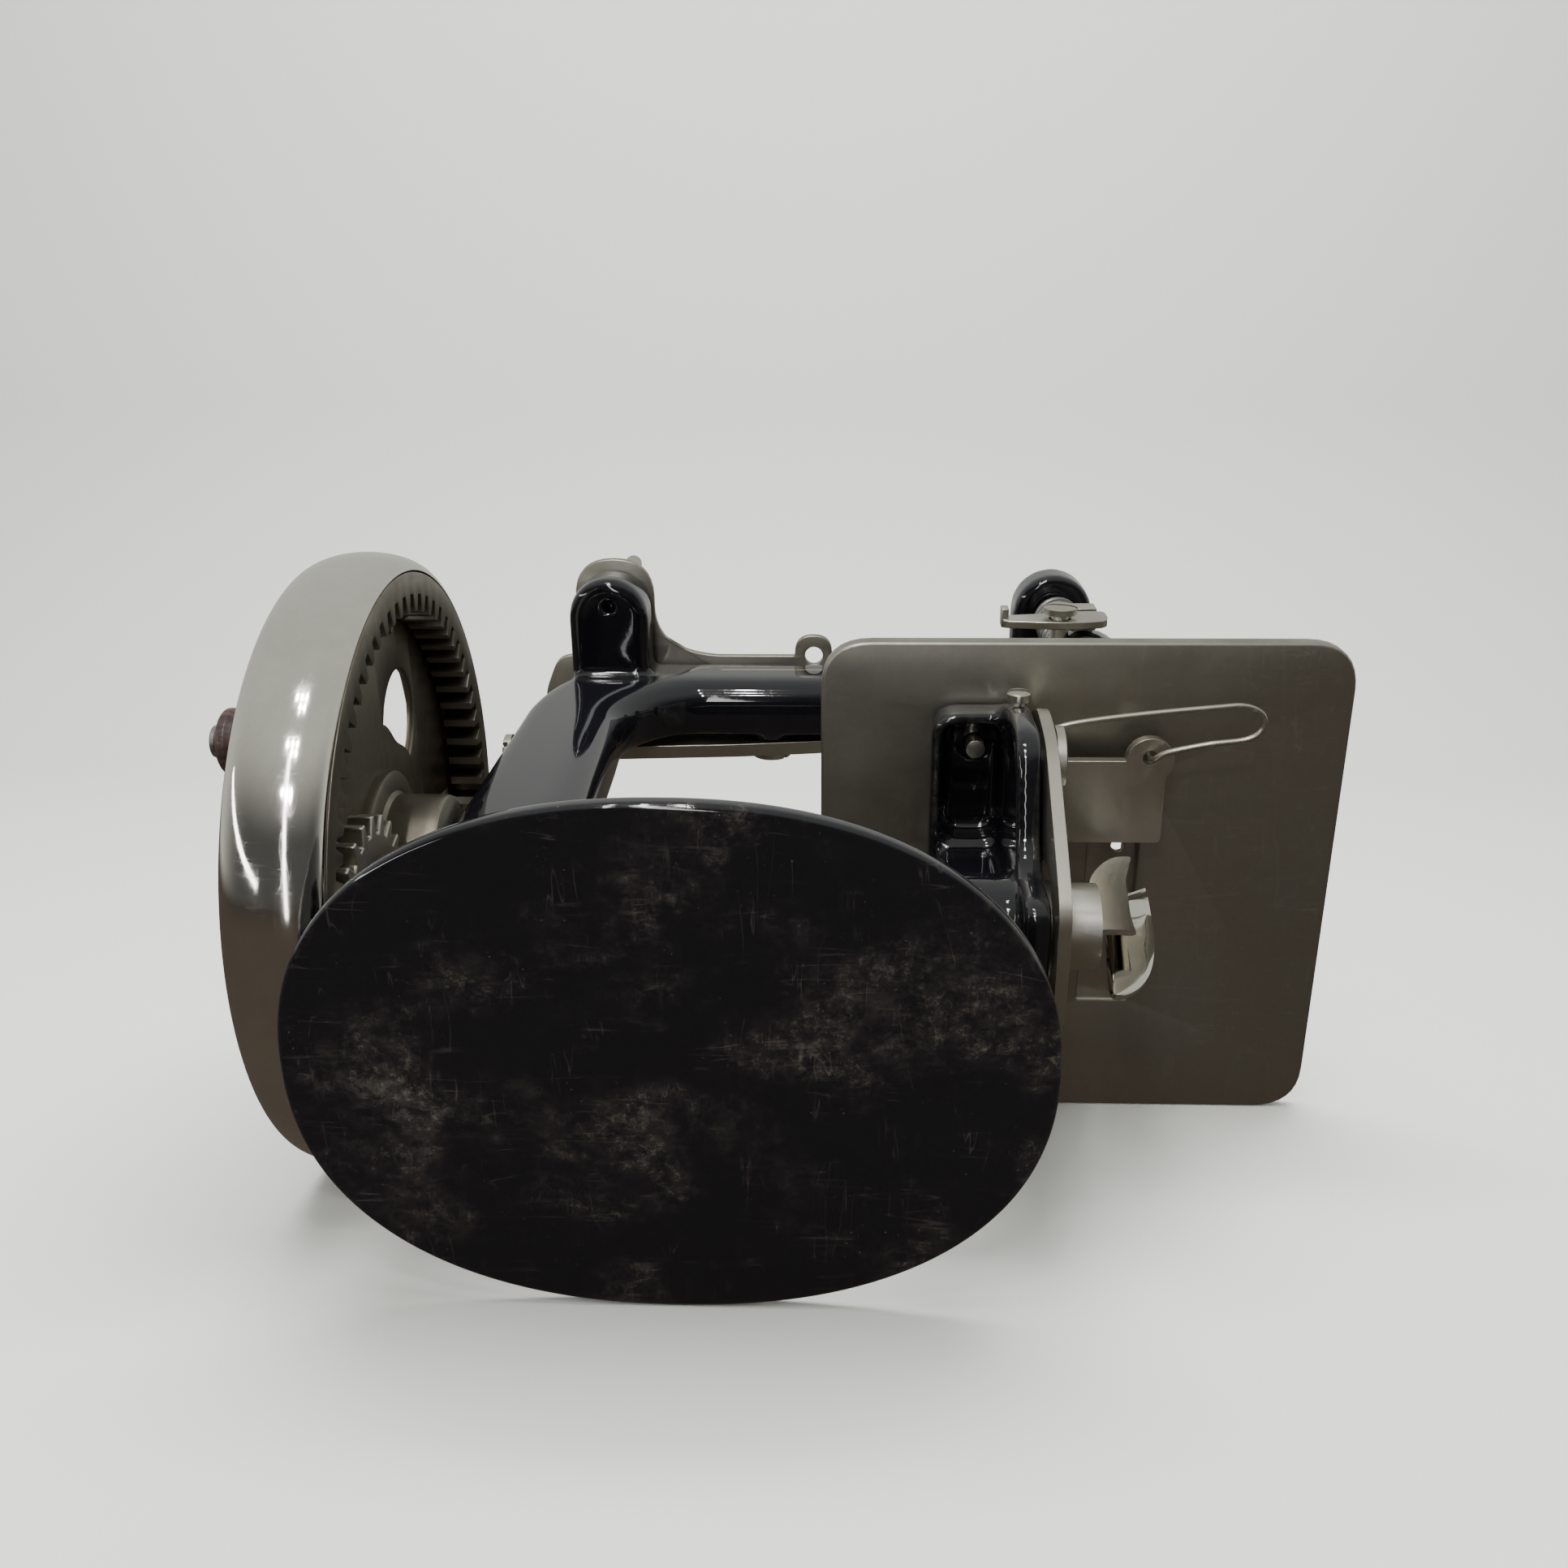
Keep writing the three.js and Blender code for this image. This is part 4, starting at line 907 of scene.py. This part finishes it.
class SEWING_OT_springs(bpy.types.Operator):
    """Wind the presser and tension springs and bend the feed spring"""
    bl_idname = "sewing.springs"
    bl_label = "Springs"

    def execute(self, context):
        low, high = corners("presser_spring")
        x, y, radius = *((low + high) / 2)[:2], (high[0] - low[0]) / 2 - 0.6
        presser = tube(coil(x, y, radius, low[2] + 0.6, high[2] - 0.6, 10), 0.6)
        piece = new_piece("presser_coil", joined([presser]), steel(), "frame", ["presser_spring"],
                          80)
        travel = next(j for j in frame["joints"] if j["name"] == "presser_lift")["range_m"][1] / MM
        x * MM
        y * MM
        1 - travel / (high[2] - low[2])
        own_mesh(piece)
        low, high = corners("tension_spring")
        x, y, radius = *((low + high) / 2)[:2], (high[0] - low[0]) / 2 - 0.35
        tension = tube(coil(x, y, radius, low[2] + 0.35, high[2] - 0.35, 5), 0.35)
        new_piece("tension_coil", joined([tension]), steel(), "frame", ["tension_spring"], 80)
        feed = tube(path_through([
            (-52.9, 23.6, 59.4), (-57, 24.8, 59.6), (-66, 26, 60), (-78, 27.2, 60.2), (-82.6, 27.4, 60.3),
            (-85.4, 26.0, 60.4), (-85.6, 23.6, 60.5), (-83.4, 21.9, 60.7), (-78, 21.0, 61.0),
            (-72, 19.4, 61.6), (-69.9, 17.8, 62.6), (-69.8, 17.5, 65.4)], 160), 0.46)
        new_piece("feed_wire", joined([feed]), satin_nickel(), "feed", ["feed_spring"], 80)
        return {"FINISHED"}


# Node, body, axis, head radius, head's back and front along the axis, shank radius and end.
SCREWS = [
    ("table_screw_rear", "frame", "z", 3.15, 71.3, 72.6, 1.5, 64, 20),
    ("table_screw_front", "frame", "z", 3.15, 71.3, 72.6, 1.5, 64, 110),
    ("top_plate_screw_left", "frame", "z", 2.6, 151.6, 153.2, 1.2, 144, 70),
    ("top_plate_screw_right", "frame", "z", 2.6, 151.6, 153.2, 1.2, 144, 12),
    ("lever_pivot_screw", "frame", "y", 4.0, -9.8, -11.4, 2.4, 0, 40),
    ("rod_pin", "lever", "y", 3.0, -12.3, -13.6, 1.6, -6, 95),
    ("lifter_pivot_screw", "frame", "y", 3.0, 30.7, 32.2, 1.6, 13, 15),
    ("feed_pivot_screw", "frame", "x", 4.9, -52.7, -54.4, 1.6, -46.6, 65),
    ("feed_stop_screw", "frame", "y", 1.9, 28.4, 30, 1.0, 20, 5),
    ("wheel_screw", "frame", "x", 5.0, 58.1, 60.4, 1.6, 57, 50),
    ("column_screw", "frame", "x", 3.0, 42, 43.8, 1.5, 35, 130),
]


class SEWING_OT_screws(bpy.types.Operator):
    """Make the slotted screws, each on its CAD node's own axis"""
    bl_idname = "sewing.screws"
    bl_label = "Screws"

    def execute(self, context):
        for node, body, axis, head, back, front, shank, end, turn in SCREWS:
            low, high = corners(node)
            centre = np.delete((low + high) / 2, "xyz".index(axis))
            near, far = sorted((back, end))
            shapes = slotted_head(axis, centre, head, back, front, turn)
            shapes.append(round_bar(axis, centre, shank, near, far, 0.1))
            new_piece(f"{node}_piece", joined(shapes), satin_nickel(), body, [node], 35)
        return {"FINISHED"}


class SEWING_OT_bars(bpy.types.Operator):
    """Make the polished bars and posts: spool pin, presser bar, tension post and needle"""
    bl_idname = "sewing.bars"
    bl_label = "Bars and posts"

    def execute(self, context):
        for node, body, finish, slot in (
                ("spool_pin", "frame", satin_nickel(), "nickel"),
                ("presser_bar", "presser", bright_nickel(), "bright_nickel"),
                ("tension_post", "frame", satin_nickel(), "nickel"),
                ("needle", "needle_bar", bright_nickel(), "bright_nickel"),
                ("main_shaft", "shaft", steel(), "steel")):
            low, high = corners(node)
            axis = "xyz"[int(np.argmax(high - low))]
            index = "xyz".index(axis)
            centre, size = np.delete((low + high) / 2, index), np.delete(high - low, index).max() / 2
            start, end = low[index], high[index]
            if node == "main_shaft":
                start += 2.8
            if node == "spool_pin":
                start += 6
            if node == "needle":
                t = np.linspace(0, 1, 24)
                tip = np.column_stack([0.45 * np.sqrt(t), start + 5 * t])
                profile = [*tip, (0.45, end - 11), (size, end - 9.5), (size, end), (0, end)]
                shape = turned(axis, centre, profile, 32)
            elif node == "spool_pin":
                t = np.linspace(0, pi / 2, 10)
                crown = np.column_stack([1.9 * np.cos(t), end - 1.6 + 1.6 * np.sin(t)])
                shape = turned(axis, centre, [(0, start), (size, start), (size, end - 9), *crown], 48)
            else:
                shape = round_bar(axis, centre, size, start, end, 0.3)
            new_piece(f"{node}_piece", joined([shape]), finish, body, [node], 40)
        return {"FINISHED"}


class SEWING_OT_linkage(bpy.types.Operator):
    """Finish the levers, discs, bushes and other small pieces on their CAD solids"""
    bl_idname = "sewing.linkage"
    bl_label = "Levers and small pieces"

    def execute(self, context):
        finishes = {
            "nickel": satin_nickel, "bright_nickel": bright_nickel, "steel": steel, "brass": brass}
        slots = {part["node"]: part["material_slot"] for part in frame["record"]["subparts"]}
        bodies = frame["record"]["behaviour"]["bodies"]
        for body, nodes in bodies.items():
            for node in nodes:
                if not frame["nodes"][node].hide_render:
                    finished_copy(node, finishes[slots[node]](), body)
        return {"FINISHED"}


# ------------------------------------------------------------------ stage, camera and lights


def stage_directions(settings):
    """Up from the floor, and away from the camera along it."""
    up = Vector((0, cos(settings.tilt), sin(settings.tilt)))
    away = Vector((0, -sin(settings.tilt), cos(settings.tilt)))
    return up, away


class SEWING_OT_stage(bpy.types.Operator):
    """Lay a pale floor that curves up into a backdrop, hang soft lamps and set up the camera"""
    bl_idname = "sewing.stage"
    bl_label = "Stage, lights and camera"

    def sweep(self, settings):
        """The floor runs away from the camera, turns up through a quarter circle and becomes the
        backdrop. It is seen from its upper side only, so that it hides nothing from below."""
        up, away = stage_directions(settings)
        turn = np.linspace(-pi / 2, 0, 24)
        run = np.concatenate([[-1.6, -0.6], 0.42 + 0.16 * np.cos(turn), [0.58]])
        rise = np.concatenate([[0, 0], 0.16 + 0.16 * np.sin(turn), [1.9]])
        across = np.linspace(-2, 2, 9)
        base = np.array((0, -settings.drop, 0))
        grid = (base + run[:, None, None] * np.array(away) + rise[:, None, None] * np.array(up)
                + across[None, :, None] * np.array((1, 0, 0)))
        points, faces = sheet(grid)
        mesh = bpy.data.meshes.new("floor_and_backdrop")
        mesh.from_pydata(points.tolist(), [], faces)
        if Vector(mesh.polygons[0].normal).dot(up) < 0:
            mesh.flip_normals()
        mesh.shade_smooth()
        f = Finish(bpy.data.materials.new("matt_paint"))
        paint = f.node("ShaderNodeBsdfPrincipled", None, {
            "Base Color": tuple(settings.floor), "Roughness": 0.75, "Specular IOR Level": 0.2})
        clear = f.node("ShaderNodeBsdfTransparent")
        behind = f.node("ShaderNodeNewGeometry", output="Backfacing")
        seen = f.node("ShaderNodeMixShader", None, {0: behind, 1: paint, 2: clear})
        f.node("ShaderNodeOutputMaterial", None, {"Surface": seen})
        mesh.materials.append(f.owner)
        floor = bpy.data.objects.new("floor_and_backdrop", mesh)
        bpy.context.scene.collection.objects.link(floor)
        floor.visible_shadow = False
        floor.visible_glossy = False
        floor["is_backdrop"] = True

    def room(self, settings):
        """The room's light: pale above the floor, dark and warm below it, and dark behind the camera."""
        world = bpy.data.worlds.new("room")
        up, away = stage_directions(settings)
        f = Finish(world)
        way = f.node("ShaderNodeTexCoord", output="Generated")
        height = f.node("ShaderNodeVectorMath", {"operation": "DOT_PRODUCT"}, {0: way, 1: up}, 1)
        ahead = f.node("ShaderNodeVectorMath", {"operation": "DOT_PRODUCT"}, {0: way, 1: away}, 1)
        wall = f.mix(height.between(-0.12, 0.02), (0.105, 0.088, 0.072), (0.70, 0.72, 0.68))
        behind = (1 - ahead.between(-0.75, 0.15)) * (1 - height.between(0.25, 0.8))
        wall = f.mix(behind * height.between(-0.25, 0.0) * 0.9, wall, (0.035, 0.035, 0.038))
        light = f.node("ShaderNodeBackground", None, {"Color": wall, "Strength": 0.9})
        f.node("ShaderNodeOutputWorld", None, {"Surface": light})
        bpy.context.scene.world = world

    def lamp(self, name, spot, target, size, power):
        """A soft rectangular lamp that faces a point."""
        data = bpy.data.lights.new(name, "AREA")
        data.shape, data.size, data.size_y, data.energy = "RECTANGLE", size[0], size[1], power
        lamp = bpy.data.objects.new(name, data)
        lamp.location = spot
        lamp.rotation_euler = (target - spot).to_track_quat("-Z", "Y").to_euler()
        bpy.context.scene.collection.objects.link(lamp)
        return lamp

    def execute(self, context):
        settings = context.scene.machine_stage
        self.sweep(settings)
        self.room(settings)
        up, away = stage_directions(settings)
        low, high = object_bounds()
        middle = (low + high) / 2
        side = Vector((1, 0, 0))
        soft = self.lamp("large_soft_lamp", middle + up * 0.55 - away * 0.05, middle, (0.5, 0.35),
                         settings.lamp)
        soft.visible_glossy = False
        wash = self.lamp("backdrop_lamp", middle + up * 0.75 + away * 0.15, middle + away * 0.55, (0.9, 0.2),
                  settings.lamp * 1.15)
        wash.visible_glossy = False
        for i in range(15):
            group, bulb = divmod(i, 5)
            spot = (middle + up * (0.62 - 0.12 * group) + side * (0.05 * (bulb % 3) + 0.06)
                    - away * (0.30 + 0.16 * group + 0.05 * (bulb // 3)))
            self.lamp(f"ceiling_lamp_{i + 1}", spot, middle, (0.010, 0.010), settings.lamp * 0.03)
        wheel = Vector((0.054, 0, WHEEL_AXIS[1] * MM))
        for name, way in (("side", (0.75, 0.35, -0.55)), ("rear", (0.05, 0.5, -0.85))):
            self.lamp(f"{name}_strip_lamp", wheel + Vector(way) * STRIP_DISTANCE, wheel,
                      (0.045, 0.9), settings.lamp * 0.22)
        camera = bpy.data.cameras.new("camera")
        camera.lens, camera.sensor_width, camera.clip_start = settings.focal, 36, 0.005
        viewer = bpy.data.objects.new("camera", camera)
        viewer.location = settings.camera_place
        viewer.rotation_euler = Euler(settings.camera_turn)
        context.scene.collection.objects.link(viewer)
        context.scene.camera = viewer
        return {"FINISHED"}


# ------------------------------------------------------------------ add-on


OPERATORS = (
    SEWING_OT_oval_base, SEWING_OT_casting, SEWING_OT_hand_wheel, SEWING_OT_knob, SEWING_OT_table,
    SEWING_OT_top_plate, SEWING_OT_looper, SEWING_OT_springs, SEWING_OT_screws, SEWING_OT_bars,
    SEWING_OT_linkage, SEWING_OT_stage,
)


class SEWING_PT_machine(bpy.types.Panel):
    """Buttons that make the machine's pieces"""
    bl_label = "Sewing machine"
    bl_idname = "SEWING_PT_machine"
    bl_space_type = "VIEW_3D"
    bl_region_type = "UI"
    bl_category = "Sewing Machine"

    def draw(self, context):
        for operator in OPERATORS:
            self.layout.operator(operator.bl_idname)


SETTINGS = {
    "machine_casting": CastingSettings, "machine_metal": MetalSettings,
    "machine_knob": KnobSettings, "machine_stage": StageSettings,
}


def register():
    for cls in (*SETTINGS.values(), *OPERATORS, SEWING_PT_machine):
        bpy.utils.register_class(cls)
    for name, cls in SETTINGS.items():
        setattr(bpy.types.Scene, name, bpy.props.PointerProperty(type=cls))


def unregister():
    for name in SETTINGS:
        delattr(bpy.types.Scene, name)
    for cls in (SEWING_PT_machine, *reversed(OPERATORS), *SETTINGS.values()):
        bpy.utils.unregister_class(cls)


def main():
    """Makes every piece and the stage."""
    register()
    for operator in OPERATORS:
        group, name = operator.bl_idname.split(".")
        getattr(getattr(bpy.ops, group), name)()


if __name__ == "__main__":
    main()
